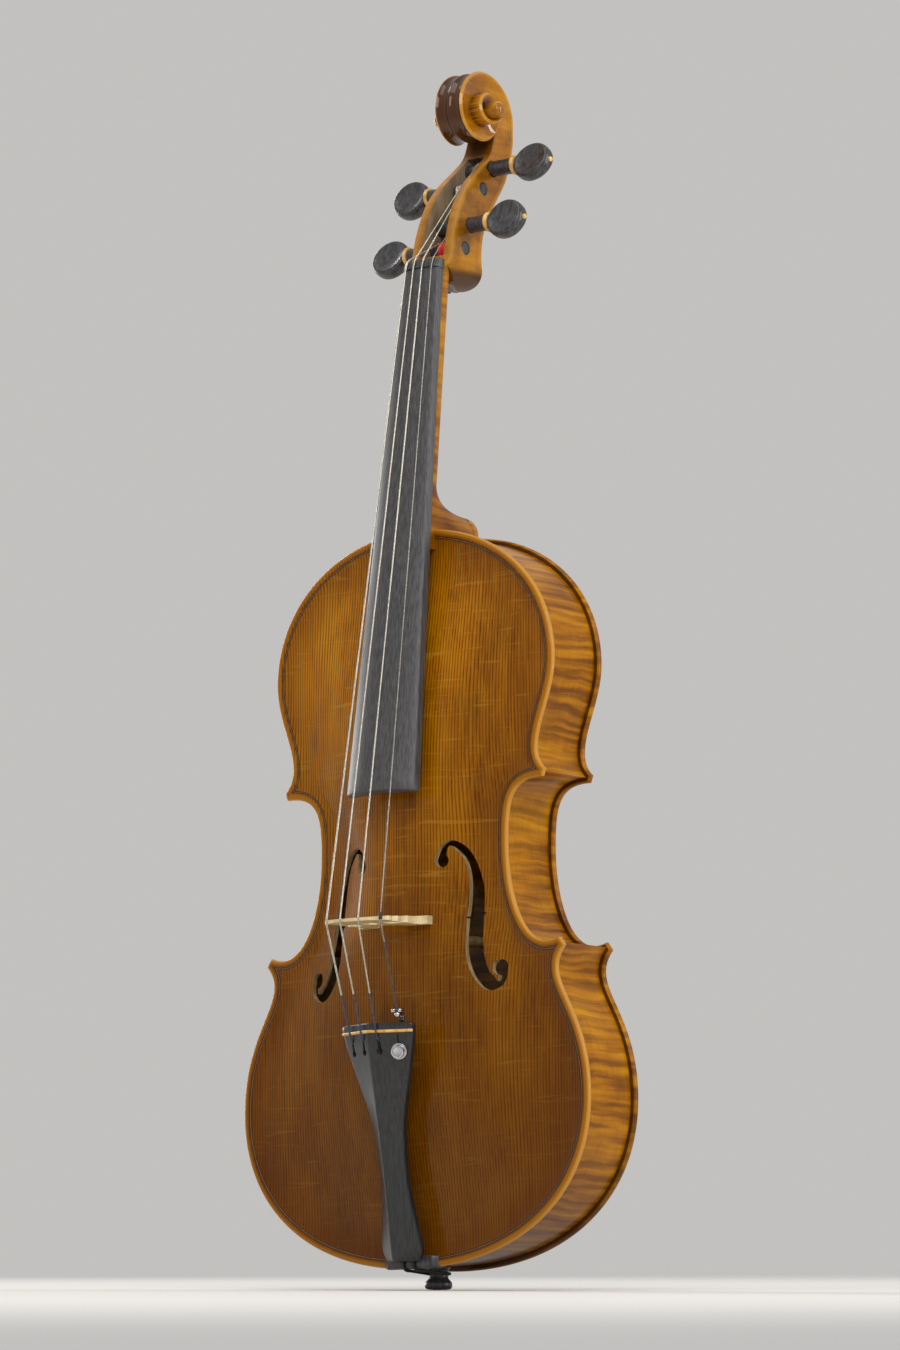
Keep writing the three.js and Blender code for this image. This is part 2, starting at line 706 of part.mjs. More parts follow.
function neckMesh() {
  const rings = [];
  const nutHalf = board.nutHalf - neck.margin;
  const neckHalf = (reach) => nutHalf + ((neck.rootHalf - nutHalf) * reach) / rootReach;
  const onNeck = (reach) => {
    const share = reach / neck.heelStart;
    const depth = neck.depthAtNut + (neck.depthAtHeel - neck.depthAtNut) * share;
    return neckRing(gluePlane(reach), onBoard(depth, reach), neckHalf(reach), 0, neck.fullness);
  };
  rings.push(onNeck(-nut.length));
  for (let i = 0; i < neckStops; i++) rings.push(onNeck((neck.heelStart * i) / neckStops));
  const heelHigh = gluePlane(neck.heelStart).y;
  const heelLow = ribTop + (heelTip.y - ribTop) * neck.heelShare;
  for (let i = 0; i <= heelStops; i++) {
    const share = i / heelStops;
    const back = heelCurve.getPoint(share);
    const z = heelHigh + (heelLow - heelHigh) * share;
    const reach = THREE.MathUtils.lerp(neck.heelStart, rootReach, share * neck.heelShare);
    const front = gluePlane(reach);
    front.y = Math.min(front.y, z + board.flank);
    const fullness = THREE.MathUtils.lerp(neck.fullness, neck.rootFullness, share);
    const backHalf = (buttonHalf(heelTip.y) - neck.margin) * share ** 2;
    rings.push(neckRing(front, back, neckHalf(reach), backHalf, fullness));
  }
  for (const stop of rootStops) {
    rings.push(rootRing(ribTop + (heelLow - ribTop) * stop.front, ribTop + (heelTip.y - ribTop) * stop.back, 0));
  }
  rings.push(rootRing(ribTop, ribTop, 0));
  rings.push(rootRing(ribTop - neck.tenon, ribTop - neck.tenon, 0));
  return loft(rings);
}

// The room that the body's pieces leave for the root of the neck
function neckSocket() {
  return loft([
    rootRing(ribTop - neck.tenon - seat, ribTop - neck.tenon - seat, seat),
    rootRing(ribTop, ribTop, seat),
    rootRing(bodyTop + overrun, bodyTop + overrun, seat),
  ]);
}

// Head: fronts and backs of the pegbox's sections, as shares of the way from the nut to the scroll's eye
const eyeY = nutY + head.eyeBack;
const eyeZ = nutZ + head.eyeUp;
const headPlace = ([back, up]) => new THREE.Vector2(nutY + head.eyeBack * back, nutZ + head.eyeUp * up);
const pegboxShares = [
  { front: [0.222, 0.03], back: [0.454, -0.073], half: 0.84 },
  { front: [0.226, 0.047], back: [0.672, -0.098], half: 0.9 },
  { front: [0.235, 0.066], back: [0.83, -0.076], half: 0.97 },
  { front: [0.245, 0.09], back: [0.885, -0.01], half: 1 },
  { front: [0.258, 0.115], back: [0.873, 0.125], half: 1 },
  { front: [0.323, 0.24], back: [0.934, 0.271], half: 0.99 },
  { front: [0.465, 0.412], back: [1.153, 0.438], half: 0.92 },
  { front: [0.683, 0.553], back: [1.382, 0.579], half: 0.83 },
  { front: [0.934, 0.661], back: [1.535, 0.71], half: 0.75 },
  { front: [1.153, 0.772], back: [1.622, 0.846], half: 0.69 },
];
const pegboxHalf = 14;
const pegShares = { c: [0.541, 0.141], a: [0.646, 0.287], g: [0.956, 0.532], d: [1.175, 0.673] };

const spiralRadius = (turn) => scroll.radius * Math.exp(-scroll.decay * turn);
const spiralHalf = (turn) => Math.min(scroll.half + scroll.spread * Math.max(turn, 0) ** 2, scroll.halfMost);
const fullTurn = 2 * Math.PI;
const landShare = (scroll.rimShare * spiralHalf(fullTurn)) / spiralHalf(0);
const frontShare = (scroll.fluteShare * spiralHalf(fullTurn)) / spiralHalf(0);

function onSpiral(turn, radius) {
  return new THREE.Vector2(eyeY + radius * Math.cos(turn), eyeZ + radius * Math.sin(turn));
}

// One side of a section from the foot of its land out to its rim
function flank(front, back, half, landHalf, hollow, hand) {
  const along = back.clone().sub(front).normalize();
  const point = (x, at) => new THREE.Vector3(hand * x, at.x, at.y);
  return [
    point(landHalf, front),
    point(half - hollow, front.clone().lerp(back, 1 / 2)),
    point(half, back.clone().addScaledVector(along, -scroll.chamfer)),
    point(half - scroll.chamfer, back),
  ];
}

// Across the back of the head: an edge, a flute, a low ridge, a flute, an edge
function headSection(front, back, half, landHalf, hollow, flute) {
  const along = back.clone().sub(front).normalize();
  const onRim = (share, drop) => {
    const at = back.clone().addScaledVector(along, -drop);
    return new THREE.Vector3(half * share, at.x, at.y);
  };
  const flutes = [
    onRim(scroll.rimShare, flute), onRim(scroll.fluteShare, flute), onRim(0, flute * scroll.ridgeShare),
    onRim(-scroll.fluteShare, flute), onRim(-scroll.rimShare, flute),
  ];
  const face = [-1, 0, 1].map((way) => new THREE.Vector3(way * half * frontShare, front.x, front.y));
  const right = flank(front, back, half, landHalf, hollow, treble);
  const left = flank(front, back, half, landHalf, hollow, bass).reverse();
  return [...right, ...flutes, ...left, ...face];
}

function voluteSection(turn) {
  const half = spiralHalf(turn);
  const fade = Math.min(1, (fullTurn - turn) / scroll.fadeTurn);
  return headSection(
    onSpiral(turn, spiralRadius(turn + fullTurn)), onSpiral(turn, spiralRadius(turn)), half, half * landShare,
    scroll.hollow, scroll.flute * fade,
  );
}

function voluteFlank(turn, hand) {
  const half = spiralHalf(turn);
  const front = onSpiral(turn, spiralRadius(turn + fullTurn));
  const back = onSpiral(turn, spiralRadius(turn));
  const foot = new THREE.Vector3(hand * spiralHalf(turn - fullTurn) * landShare, back.x, back.y);
  return [...flank(front, back, half, half * landShare, scroll.hollow, hand), foot];
}

// Pegbox and volute as one surface: sections up to the throat, one turn of the fluted rim, then on each
// side a wall and a land that wind in to the eye
function scrollMesh() {
  const rings = pegboxShares.map((s) => {
    const half = pegboxHalf * s.half;
    return headSection(headPlace(s.front), headPlace(s.back), half, half, 0, scroll.flute);
  });
  const under = -scroll.throatTurn;
  const throat = onSpiral(under, spiralRadius(fullTurn) * scroll.throatShare);
  rings.push(headSection(throat, onSpiral(under, spiralRadius(under)), scroll.half, scroll.half, 0, scroll.flute));
  const sections = [];
  for (let i = 0; i <= scroll.steps; i++) sections.push(voluteSection((fullTurn * i) / scroll.steps));
  rings.push(sections[0]);

  const out = [];
  for (let i = 0; i + 1 < rings.length; i++) out.push(...bandTriangles(rings[i], rings[i + 1], true));
  out.push(...fanTriangles([...rings[0]].reverse(), middle(rings[0])));
  const faceCount = 3;
  const rims = sections.map((section) => section.slice(0, -faceCount));
  for (let i = 0; i + 1 < rims.length; i++) out.push(...bandTriangles(rims[i], rims[i + 1], false));

  for (const hand of [treble, bass]) {
    const rows = [];
    const inner = Math.round(scroll.turns * scroll.steps);
    for (let i = scroll.steps; i <= inner; i++) rows.push(voluteFlank((fullTurn * i) / scroll.steps, hand));
    const eye = rows.slice(-scroll.steps).map((row) => row[0]);
    const rimLoop = [...eye, ...rows[rows.length - 1].slice(1)];
    const strips = [];
    for (let i = 0; i + 1 < rows.length; i++) strips.push(...bandTriangles(rows[i], rows[i + 1], false));
    const hub = new THREE.Vector3(rows[rows.length - 1][0].x, eyeY, eyeZ);
    strips.push(...fanTriangles(rimLoop, hub));
    out.push(...(hand === treble ? strips : strips.map(([a, b, c]) => [a, c, b])));
  }
  return surface(out);
}

function eyeMesh() {
  const cap = scroll.eyeRadius - scroll.chamfer / 2;
  const half = scroll.eyeHalf;
  const profile = [
    [0, -half], [cap, -half], [scroll.eyeRadius, scroll.chamfer - half],
    [scroll.eyeRadius, half - scroll.chamfer], [cap, half], [0, half],
  ];
  const eye = turned(profile, scroll.eyeSides, "x", 0, 0, 0);
  return eye.rotateX(Math.PI / scroll.eyeSides / 3).translate(0, eyeY, eyeZ);
}

// The open pegbox, cut from the front down to its floor
const cavityShares = [
  { front: [0.245, 0.085], back: [0.8, 0.05], floor: 0.72, half: 0 },
  { front: [0.323, 0.24], back: [0.934, 0.271], floor: 0.74, half: 0.2 },
  { front: [0.465, 0.412], back: [1.153, 0.438], floor: 0.76, half: 0.45 },
  { front: [0.683, 0.553], back: [1.382, 0.579], floor: 0.76, half: 0.65 },
  { front: [0.934, 0.661], back: [1.535, 0.71], floor: 0.74, half: 0.85 },
  { front: [1.1, 0.745], back: [1.6, 0.82], floor: 0.55, half: 1 },
];

function cavityMesh() {
  return loft(cavityShares.map((s) => {
    const front = headPlace(s.front);
    const back = headPlace(s.back);
    const along = back.clone().sub(front).normalize();
    const mouth = front.clone().addScaledVector(along, -overrun);
    const floor = front.clone().lerp(back, s.floor);
    const half = cavity.nutHalf + (cavity.throatHalf - cavity.nutHalf) * s.half;
    return [
      new THREE.Vector3(half, mouth.x, mouth.y), new THREE.Vector3(half, floor.x, floor.y),
      new THREE.Vector3(-half, floor.x, floor.y), new THREE.Vector3(-half, mouth.x, mouth.y),
    ];
  }));
}

// Pegs

function cheekHalfAt(z) {
  const rows = pegboxShares.slice(3).map((s) => [headPlace(s.back).y, headPlace(s.front).y, s.half]);
  for (let i = 1; i < rows.length; i++) {
    const low = (rows[i - 1][0] + rows[i - 1][1]) / 2;
    const high = (rows[i][0] + rows[i][1]) / 2;
    if (z <= high) return pegboxHalf * THREE.MathUtils.lerp(rows[i - 1][2], rows[i][2], (z - low) / (high - low));
  }
  return pegboxHalf * rows[rows.length - 1][2];
}

const pegHand = { c: bass, g: bass, d: treble, a: treble };
const pegTiltDegrees = { c: -25, g: -20, d: -25, a: -20 };
const shankRadius = (along) => {
  const reach = pegboxHalf * 2;
  return peg.narrow + ((peg.wide - peg.narrow) * (along + pegboxHalf)) / reach;
};

function pegHole(name) {
  const at = headPlace(pegShares[name]);
  const grow = 1 / Math.cos(Math.PI / peg.sides);
  const end = pegboxHalf + overrun;
  const profile = [
    [0, -end], [(shankRadius(-end) + peg.clearance) * grow, -end],
    [(shankRadius(end) + peg.clearance) * grow, end], [0, end],
  ];
  const hole = turned(profile, peg.sides, "x", 0, 0, 0);
  if (pegHand[name] < 0) hole.rotateZ(Math.PI);
  return hole.translate(0, at.x, at.y);
}

function pegMesh(name) {
  const at = headPlace(pegShares[name]);
  const far = -(cheekHalfAt(at.y) - peg.endPlay);
  const collarEnd = peg.collarAt + peg.collarWidth;
  const tip = peg.headAt + peg.headRadius;
  const tilt = THREE.MathUtils.degToRad(pegTiltDegrees[name]);
  const shank = turned([
    [0, far], [shankRadius(far), far], [shankRadius(peg.collarAt), peg.collarAt], [peg.collar, peg.collarAt],
    [peg.collar, collarEnd], [peg.neckRadius + peg.clearance, collarEnd],
    [peg.neckRadius, peg.headAt - peg.headRadius / 2], [peg.dishDepth, peg.headAt], [0, peg.headAt],
  ], peg.sides, "x", 0, 0, 0);
  const rim = peg.headRadius;
  const thick = peg.headThick / 2;
  const side = [
    [0, thick - peg.dishDepth], [rim * peg.dishShare, thick - peg.dishDepth * peg.dishLeft],
    [rim * peg.rimShare, thick], [rim, 0],
  ];
  const under = side.slice(0, -1).reverse().map(([r, h]) => [r, -h]);
  const disc = turned([...side, ...under].reverse(), peg.headSides, "y", 0, 0, 0);
  disc.scale(1, 1, 1 / peg.headLong);
  disc.rotateX(tilt);
  disc.translate(peg.headAt, 0, 0);
  const pin = rod(peg.pin, peg.pin * 2, 8, "x", tip - peg.pin, 0, 0);
  const turnedPeg = union(shank, disc, pin);
  if (pegHand[name] < 0) turnedPeg.rotateZ(Math.PI).rotateX(tilt * 2);
  return turnedPeg.translate(0, at.x, at.y);
}

// Nut and bridge crown

const nutDepth = (x, reach) => boardRise(x) - nut.rise + (reach < 0 ? (nut.lean * -reach) / nut.length : 0);

function nutMesh() {
  const half = board.nutHalf;
  const ring = (reach) => {
    const top = spaced(half, -half, crownSteps).map((x) => {
      const at = onBoard(nutDepth(x, reach), reach);
      return new THREE.Vector3(x, at.x, at.y);
    });
    const floor = onBoard(boardUnder(0), reach);
    return [...top, new THREE.Vector3(-half, floor.x, floor.y), new THREE.Vector3(half, floor.x, floor.y)];
  };
  return loft([ring(-seat), ring(-nut.length)]);
}

const crownTop = -(edgeY + frontArch + bridge.height);

function crownY(x) {
  return crownTop + bridge.crownRadius - Math.sqrt(bridge.crownRadius ** 2 - (x + bridge.crownShift) ** 2);
}

// Half of the bridge's outline below the crown, as shares of its half width and of its height
const bridgeShares = [
  [0.89, 0.8], [0.85, 0.73], [0.78, 0.66], [0.84, 0.575], [0.72, 0.52], [0.6, 0.6], [0.44, 0.6], [0.36, 0.5],
  [0.44, 0.4], [0.62, 0.39], [0.72, 0.44], [0.86, 0.4], [0.78, 0.27], [0.76, 0.17], [0.86, 0.105],
];
const openingShares = [[0.4, 0.105], [0.3, 0.2], [0.16, 0.265], [0.06, 0.25]];
const heartShares = [[0, 0.58], [0.13, 0.66], [0.2, 0.6], [0.17, 0.5], [0, 0.42]];

function bridgeMesh() {
  const footY = (x) => frontAt(x, bridgeZ, 1) - seat;
  const ground = footY(bridge.footHalf * bridge.footMiddle);
  const tall = ground - crownTop;
  const place = ([across, up], hand) => V2(hand * bridge.footHalf * across, ground - tall * up);
  const crown = spaced(-bridge.crownHalf, bridge.crownHalf, crownSteps).map((x) => V2(x, crownY(x)));
  const foot = (hand) => [
    V2(hand * bridge.footHalf, ground - tall * bridge.ankleUp),
    ...[1, bridge.footMiddle, bridge.footFrom].map((share) => {
      const x = bridge.footHalf * share;
      return V2(hand * x, footY(x));
    }),
    V2(hand * bridge.footHalf * bridge.footFrom, ground - tall * bridge.archUp),
  ];
  const side = (hand) => [...bridgeShares.map((s) => place(s, hand)), ...foot(hand),
    ...openingShares.map((s) => place(s, hand))];
  const outline = [...crown, ...side(treble), ...side(bass).reverse()];
  const heart = [...heartShares, ...heartShares.slice(1, -1).reverse().map(([x, up]) => [-x, up])];
  const shape = new THREE.Shape(outline);
  shape.holes = [new THREE.Path(heart.map((s) => place(s, 1)))];
  const geometry = new THREE.ExtrudeGeometry(shape, { depth: 1, bevelEnabled: false });
  const position = geometry.attributes.position;
  for (let i = 0; i < position.count; i++) {
    const up = THREE.MathUtils.clamp((ground - position.getY(i)) / tall, 0, 1);
    const thick = bridge.footThickness + (bridge.topThickness - bridge.footThickness) * up;
    const back = bridge.footThickness / 2;
    position.setZ(i, bridgeZ - back + thick * position.getZ(i));
  }
  return geometry;
}

// Tailpiece: half widths as shares of the head's, at shares of its length from the head
const tailShares = [
  [0, 0.97], [0.02, 1], [0.09, 0.93], [0.24, 0.71], [0.4, 0.47], [0.53, 0.39], [0.67, 0.37], [0.8, 0.45],
  [0.93, 0.55], [0.98, 0.5], [1, 0.42],
];
const tailHeadZ = bridgeZ - tailpiece.afterLength;
const tailLength = tailHeadZ - tailpiece.footZ;
const tailSlope = (tailpiece.footEdgeY - tailpiece.headEdgeY) / tailLength;

function tailHalf(z) {
  const share = (tailHeadZ - z) / tailLength;
  for (let i = 1; i < tailShares.length; i++) {
    const [low, a] = tailShares[i - 1];
    const [high, b] = tailShares[i];
    if (share <= high) return tailpiece.headHalf * THREE.MathUtils.lerp(a, b, (share - low) / (high - low));
  }
  return tailpiece.headHalf * tailShares[tailShares.length - 1][1];
}

const tailEdge = (z) => tailpiece.headEdgeY + tailSlope * (tailHeadZ - z);
const tailTop = (x, z) => tailEdge(z) - tailpiece.ridge * (1 - Math.abs(x) / tailHalf(z));
const tailUnder = (x, z) => tailTop(x, z) + tailpiece.thickness + tailpiece.vault * (1 - Math.abs(x) / tailHalf(z));
const fretZ = tailHeadZ - tailpiece.fretBelow;
const holeZ = tailHeadZ - tailpiece.holesBelow;
const tailX = (name) => strings[name].place * stringGap.tail;

function tailpieceMesh() {
  const rings = tailShares.map(([share]) => {
    const z = tailHeadZ - share * tailLength;
    const half = tailHalf(z);
    return [
      new THREE.Vector3(-half, tailTop(half, z), z), new THREE.Vector3(0, tailTop(0, z), z),
      new THREE.Vector3(half, tailTop(half, z), z), new THREE.Vector3(half, tailUnder(half, z), z),
      new THREE.Vector3(0, tailUnder(0, z), z), new THREE.Vector3(-half, tailUnder(half, z), z),
    ];
  });
  const from = tailTop(0, tailHeadZ) - overrun;
  const deep = tailpiece.ridge + tailpiece.thickness + overrun * 2;
  const holes = ["c", "g", "d"].flatMap((name) => [
    rod(keyhole.radius, deep, 10, "y", tailX(name), from, holeZ),
    block(keyhole.slot * 2, deep, keyhole.length, tailX(name), from + deep / 2, holeZ + keyhole.length / 2),
  ]);
  holes.push(rod(tuner.bossRadius + seat, deep, 10, "y", 0, -deep / 2, 0).applyMatrix4(tunerPlace()));
  return cut(loft(rings), ...holes);
}

function fretMesh() {
  const low = seat;
  const high = fret.rise;
  const ring = (x) => [[-1, low], [-1, high], [1, high], [1, low]].map(([way, up]) => {
    const z = fretZ + (way * fret.width) / 2;
    return new THREE.Vector3(x, tailTop(x, fretZ) - up, z);
  });
  const half = tailHalf(fretZ);
  return loft([ring(-half), ring(0), ring(half)]);
}

// The fine tuner's own frame: its Y runs into the tailpiece, its Z up towards the bridge
function tunerPlace() {
  const x = strings.a.place * stringGap.tail;
  const lean = Math.atan(tailpiece.ridge / tailHalf(holeZ));
  const at = new THREE.Vector3(x, tailTop(x, holeZ), holeZ);
  const turn = new THREE.Matrix4().makeRotationZ(lean);
  const tilt = new THREE.Matrix4().makeRotationX(Math.atan(tailSlope));
  return new THREE.Matrix4().makeTranslation(at).multiply(turn).multiply(tilt);
}

const onTuner = (geometry) => geometry.applyMatrix4(tunerPlace());

function roundHole(radius, gap, sides) {
  return (radius + gap) / Math.cos(Math.PI / sides);
}

function tunerFrame() {
  const under = tuner.plateAt + tuner.plateThickness;
  const long = tuner.plateFront - tuner.plateBack;
  const half = tuner.width / 2;
  const top = -(seat + tuner.nutHeight);
  const plateMesh = block(
    tuner.width, tuner.plateThickness, long,
    0, tuner.plateAt + tuner.plateThickness / 2, tuner.plateBack + long / 2,
  );
  const boss = rod(tuner.bossRadius, under - top, 12, "y", 0, top, 0);
  const tall = tuner.earBack - tuner.plateAt;
  const ear = (hand) => block(
    tuner.earWidth, tall, tuner.eyeRadius * 2,
    hand * (half - tuner.earWidth / 2), tuner.plateAt + tall / 2, tuner.pivotZ,
  );
  const pin = rod(tuner.pinRadius, tuner.width, 10, "x", -half, tuner.pivotY, tuner.pivotZ);
  const bore = rod(
    roundHole(tuner.screwRadius, tuner.screwGap, 12), under - top + overrun * 2, 12, "y", 0, top - overrun, 0,
  );
  return cut(union(plateMesh, boss, ear(treble), ear(bass), pin), bore);
}

function tunerNut() {
  const ring = rod(tuner.nutRadius, tuner.nutHeight, 16, "y", 0, -(seat + tuner.nutHeight), 0);
  const inner = rod(roundHole(tuner.bossRadius, seat, 12), overrun * 2, 12, "y", 0, -overrun, 0);
  return cut(ring, inner);
}

// The lever's side view, as shares of its depth into the tailpiece and of its reach towards the bridge
const leverShares = [
  [0.949, -0.077], [0.816, -0.077], [0.704, 0.395], [0.602, 0.455], [0.602, 0.498], [0.643, 0.558], [0.592, 0.764],
  [0.204, 0.944], [0.204, 1], [0.408, 1], [0.776, 0.841], [0.857, 0.579], [0.98, 0.515], [1, 0.472], [0.959, 0.412],
];

function tunerLever() {
  const shape = new THREE.Shape(leverShares.map(([back, up]) => V2(tuner.leverReach * up, tuner.leverDepth * back)));
  const arm = new THREE.ExtrudeGeometry(shape, { depth: tuner.leverWidth, bevelEnabled: false });
  arm.rotateY(-Math.PI / 2).translate(tuner.leverWidth / 2, 0, 0);
  const tall = tuner.clawFoot - tuner.clawTop;
  const clawMiddle = tuner.clawZ + tuner.clawThickness / 2;
  const claw = block(tuner.clawWidth, tall, tuner.clawThickness, 0, tuner.clawTop + tall / 2, clawMiddle);
  const eye = rod(
    roundHole(tuner.pinRadius, seat, 10), tuner.leverWidth + overrun, 10, "x", -(tuner.leverWidth + overrun) / 2,
    tuner.pivotY, tuner.pivotZ,
  );
  const slotHalf = strings.a.radius + seat;
  const slotEnd = tuner.stringY + slotHalf;
  const slotTall = slotEnd - tuner.clawTop + overrun;
  const slot = block(
    slotHalf * 2, slotTall, tuner.clawThickness + overrun, 0, slotEnd - slotTall / 2, clawMiddle,
  );
  return cut(union(arm, claw), eye, slot);
}

function tunerScrew() {
  return rod(tuner.screwRadius, tuner.screwEnd - tuner.headFrom - seat, 12, "y", 0, tuner.headFrom + seat, 0);
}

function tunerHead() {
  const from = tuner.headFrom - tuner.headHeight;
  const lip = tuner.headLip;
  return turned([
    [0, from], [tuner.headRadius - lip, from], [tuner.headRadius, from + lip],
    [tuner.headRadius, tuner.headFrom - lip], [tuner.headRadius - lip, tuner.headFrom], [0, tuner.headFrom],
  ], 16, "y", 0, 0, 0);
}

// Strings

function overNut(name, reach) {
  const string = strings[name];
  const x = string.place * stringGap.nut;
  const at = onBoard(nutDepth(x, reach) - string.radius - seat, reach);
  return new THREE.Vector3(x, at.x, at.y);
}

const crownBack = bridgeZ - bridge.footThickness / 2;
const crownFront = crownBack + bridge.topThickness;

function overBridge(name, z) {
  const string = strings[name];
  const x = string.place * stringGap.bridge;
  const outer = name === "a" ? protector.radius : string.radius;
  return new THREE.Vector3(x, crownY(x) - outer - seat, z);
}

function coilPlan(name) {
  const string = strings[name];
  const axis = headPlace(pegShares[name]);
  const pitch = string.radius * 2 + coil.gap;
  const far = string.coilOffset + string.coilWay * pitch * coil.turns;
  const hand = pegHand[name];
  const under = Math.max(shankRadius(string.coilOffset * hand), shankRadius(far * hand));
  const radius = under + seat + string.radius;
  const from = overNut(name, -nut.length);
  const span = axis.clone().sub(new THREE.Vector2(from.y, from.z));
  const heading = span.angle() + Math.asin(radius / span.length());
  const reach = Math.sqrt(span.length() ** 2 - radius ** 2);
  const leave = new THREE.Vector3(
    string.coilOffset, from.y + reach * Math.cos(heading), from.z + reach * Math.sin(heading),
  );
  const start = Math.atan2(leave.z - axis.y, leave.y - axis.x);
  const along = leave.clone().sub(from).normalize();
  return { string, axis, pitch, radius, leave, start, along };
}

// The coil turns about the peg and its end goes through the hole in the peg's shank
function coilRoute(name) {
  const { string, axis, pitch, radius, leave, start, along } = coilPlan(name);
  const points = [leave.clone().addScaledVector(along, -string.radius * 2), leave];
  const count = coil.turns * coil.steps;
  const way = -1;
  for (let i = 1; i <= count; i++) {
    const turn = start + (way * 2 * Math.PI * i) / coil.steps;
    const x = string.coilOffset + (string.coilWay * pitch * i) / coil.steps;
    points.push(new THREE.Vector3(x, axis.x + radius * Math.cos(turn), axis.y + radius * Math.sin(turn)));
  }
  const bend = string.radius + seat / 2;
  const out = new THREE.Vector2(Math.cos(start), Math.sin(start));
  const on = new THREE.Vector2(-way * -Math.sin(start), -way * Math.cos(start)).negate();
  const x = points[points.length - 1].x;
  const steps = 4;
  for (let i = 1; i <= steps; i++) {
    const turn = (Math.PI / 2) * (i / steps);
    const at = axis.clone()
      .addScaledVector(out, radius - bend + bend * Math.cos(turn))
      .addScaledVector(on, bend * Math.sin(turn));
    points.push(new THREE.Vector3(x, at.x, at.y));
  }
  const end = axis.clone().addScaledVector(out, radius - bend - string.radius * 2).addScaledVector(on, bend);
  points.push(new THREE.Vector3(x, end.x, end.y));
  return points;
}

function coilHole(name) {
  const points = coilRoute(name);
  const inner = points[points.length - 1];
  const outer = points[points.length - 2];
  const down = inner.clone().sub(outer).normalize();
  const radius = strings[name].radius + seat * 2;
  const deep = strings[name].radius * 2 + seat * 2 + overrun;
  const hole = rod(radius, deep, 10, "y", 0, 0, 0);
  const turn = new THREE.Quaternion().setFromUnitVectors(new THREE.Vector3(0, 1, 0), down);
  hole.applyQuaternion(turn);
  const from = inner.clone().addScaledVector(down, seat * 2 - deep);
  return hole.translate(from.x, from.y, from.z);
}

// Least gap between one pass of a coil and the next
function coilGap(name) {
  const points = coilRoute(name);
  let least = Infinity;
  points.forEach((p, i) => points.slice(i + coil.steps / 2).forEach((q) => {
    least = Math.min(least, p.distanceTo(q));
  }));
  return least - strings[name].radius * 2;
}

function stringRoute(name) {
  const { string, leave, along } = coilPlan(name);
  const start = leave.clone().addScaledVector(along, -(string.radius * 2 + seat));
  const route = [
    start, overNut(name, -nut.length), overNut(name, -seat),
    overBridge(name, crownFront), overBridge(name, crownBack),
  ];
  if (name === "a") {
    route.push(new THREE.Vector3(0, tuner.stringY, tuner.clawZ - seat - ballRadius).applyMatrix4(tunerPlace()));
    return route;
  }
  const x = tailX(name);
  const rest = fret.rise + seat + string.radius;
  const hang = string.radius + seat;
  const diveZ = holeZ + keyhole.length - keyhole.endHeight;
  const under = tailUnder(x, diveZ) + ballRadius + seat;
  for (const side of [1, -1]) {
    const z = fretZ + (side * fret.width) / 2;
    route.push(new THREE.Vector3(x, tailTop(x, fretZ) - rest, z));
  }
  route.push(new THREE.Vector3(x, tailTop(x, diveZ) - hang, diveZ + hang), new THREE.Vector3(x, under, diveZ));
  return route;
}

function stringMesh(name) {
  const route = stringRoute(name);
  const end = route[route.length - 1];
  const ball = new THREE.SphereGeometry(ballRadius, 10, 6).translate(end.x, end.y, end.z);
  return union(tube(route, strings[name].radius, coil.sides), ball);
}

function protectorMesh() {
  const route = stringRoute("a");
  const [before, over, back, after] = [route[2], route[3], route[4], route[5]];
  const reach = protector.length / 2;
  const toward = (a, b, far) => a.clone().addScaledVector(b.clone().sub(a).normalize(), far);
  const path = (far) => [toward(over, before, far), over, back, toward(back, after, far)];
  const bore = roundHole(strings.a.radius, seat, 8);
  return cut(tube(path(reach), protector.radius, 8), tube(path(reach + overrun), bore, 8));
}

// Body pieces

const ribInset = overhang;
const insideInset = overhang + ribThickness + seat;
const ribFront = seat - glueY;
const ribBack = glueY - seat;
const mirrored = (points, hand) => points.map((p) => new THREE.Vector2(hand * p.x, p.y + bodyBottom));

function strip(bout, hand, outer, inner, steps, from, back, fromY, toY) {
  const outside = stretch(curvesAt(outer)[bout], steps, from, back);
  const inside = stretch(curvesAt(inner)[bout], steps, from, back);
  return slab(mirrored([...outside, ...inside.reverse()], hand), fromY, toY);
}

const plugHole = () => rod(
  roundHole(endButton.plug, seat, 14), overhang + endButton.plugLength + overrun, 14, "z", 0, 0, bodyBottom,
);

function ribMesh(bout, hand) {
  const steps = boutSteps[bout];
  const from = bout === "lower" ? seat / 2 : seat;
  const back = bout === "upper" ? 0 : seat;
  const rib = strip(bout, hand, ribInset, ribInset + ribThickness, steps, from, back, ribFront, ribBack);
  if (bout === "lower") return cut(rib, plugHole());
  if (bout === "upper") return cut(rib, neckSocket());
  return rib;
}

const liningEnds = {
  lower: [endBlock.half + seat, cornerBlock.reach + seat],
  waist: [cornerBlock.reach + seat, cornerBlock.reach + seat],
  upper: [cornerBlock.reach + seat, neckBlock.half + seat],
};

function liningMesh(bout, hand, side) {
  const [from, back] = liningEnds[bout];
  const near = side * (glueY - seat);
  const deep = near - side * lining.height;
  const steps = boutSteps[bout] - lining.fewerSteps;
  const low = Math.min(near, deep);
  const high = Math.max(near, deep);
  const outer = insideInset + lining.extraGap;
  return strip(bout, hand, outer, outer + lining.thickness, steps, from, back, low, high);
}

function cornerMesh(below, above, hand) {
  const curves = curvesAt(insideInset);
  const wholeBelow = lengths(curves[below]).pop();
  const wholeAbove = lengths(curves[above]).pop();
  const steps = 4;
  const first = stretch(curves[below], steps, wholeBelow - cornerBlock.reach, 0);
  const second = stretch(curves[above], steps, 0, wholeAbove - cornerBlock.reach);
  return slab(mirrored([...first, ...second.slice(1)], hand), ribFront, ribBack);
}

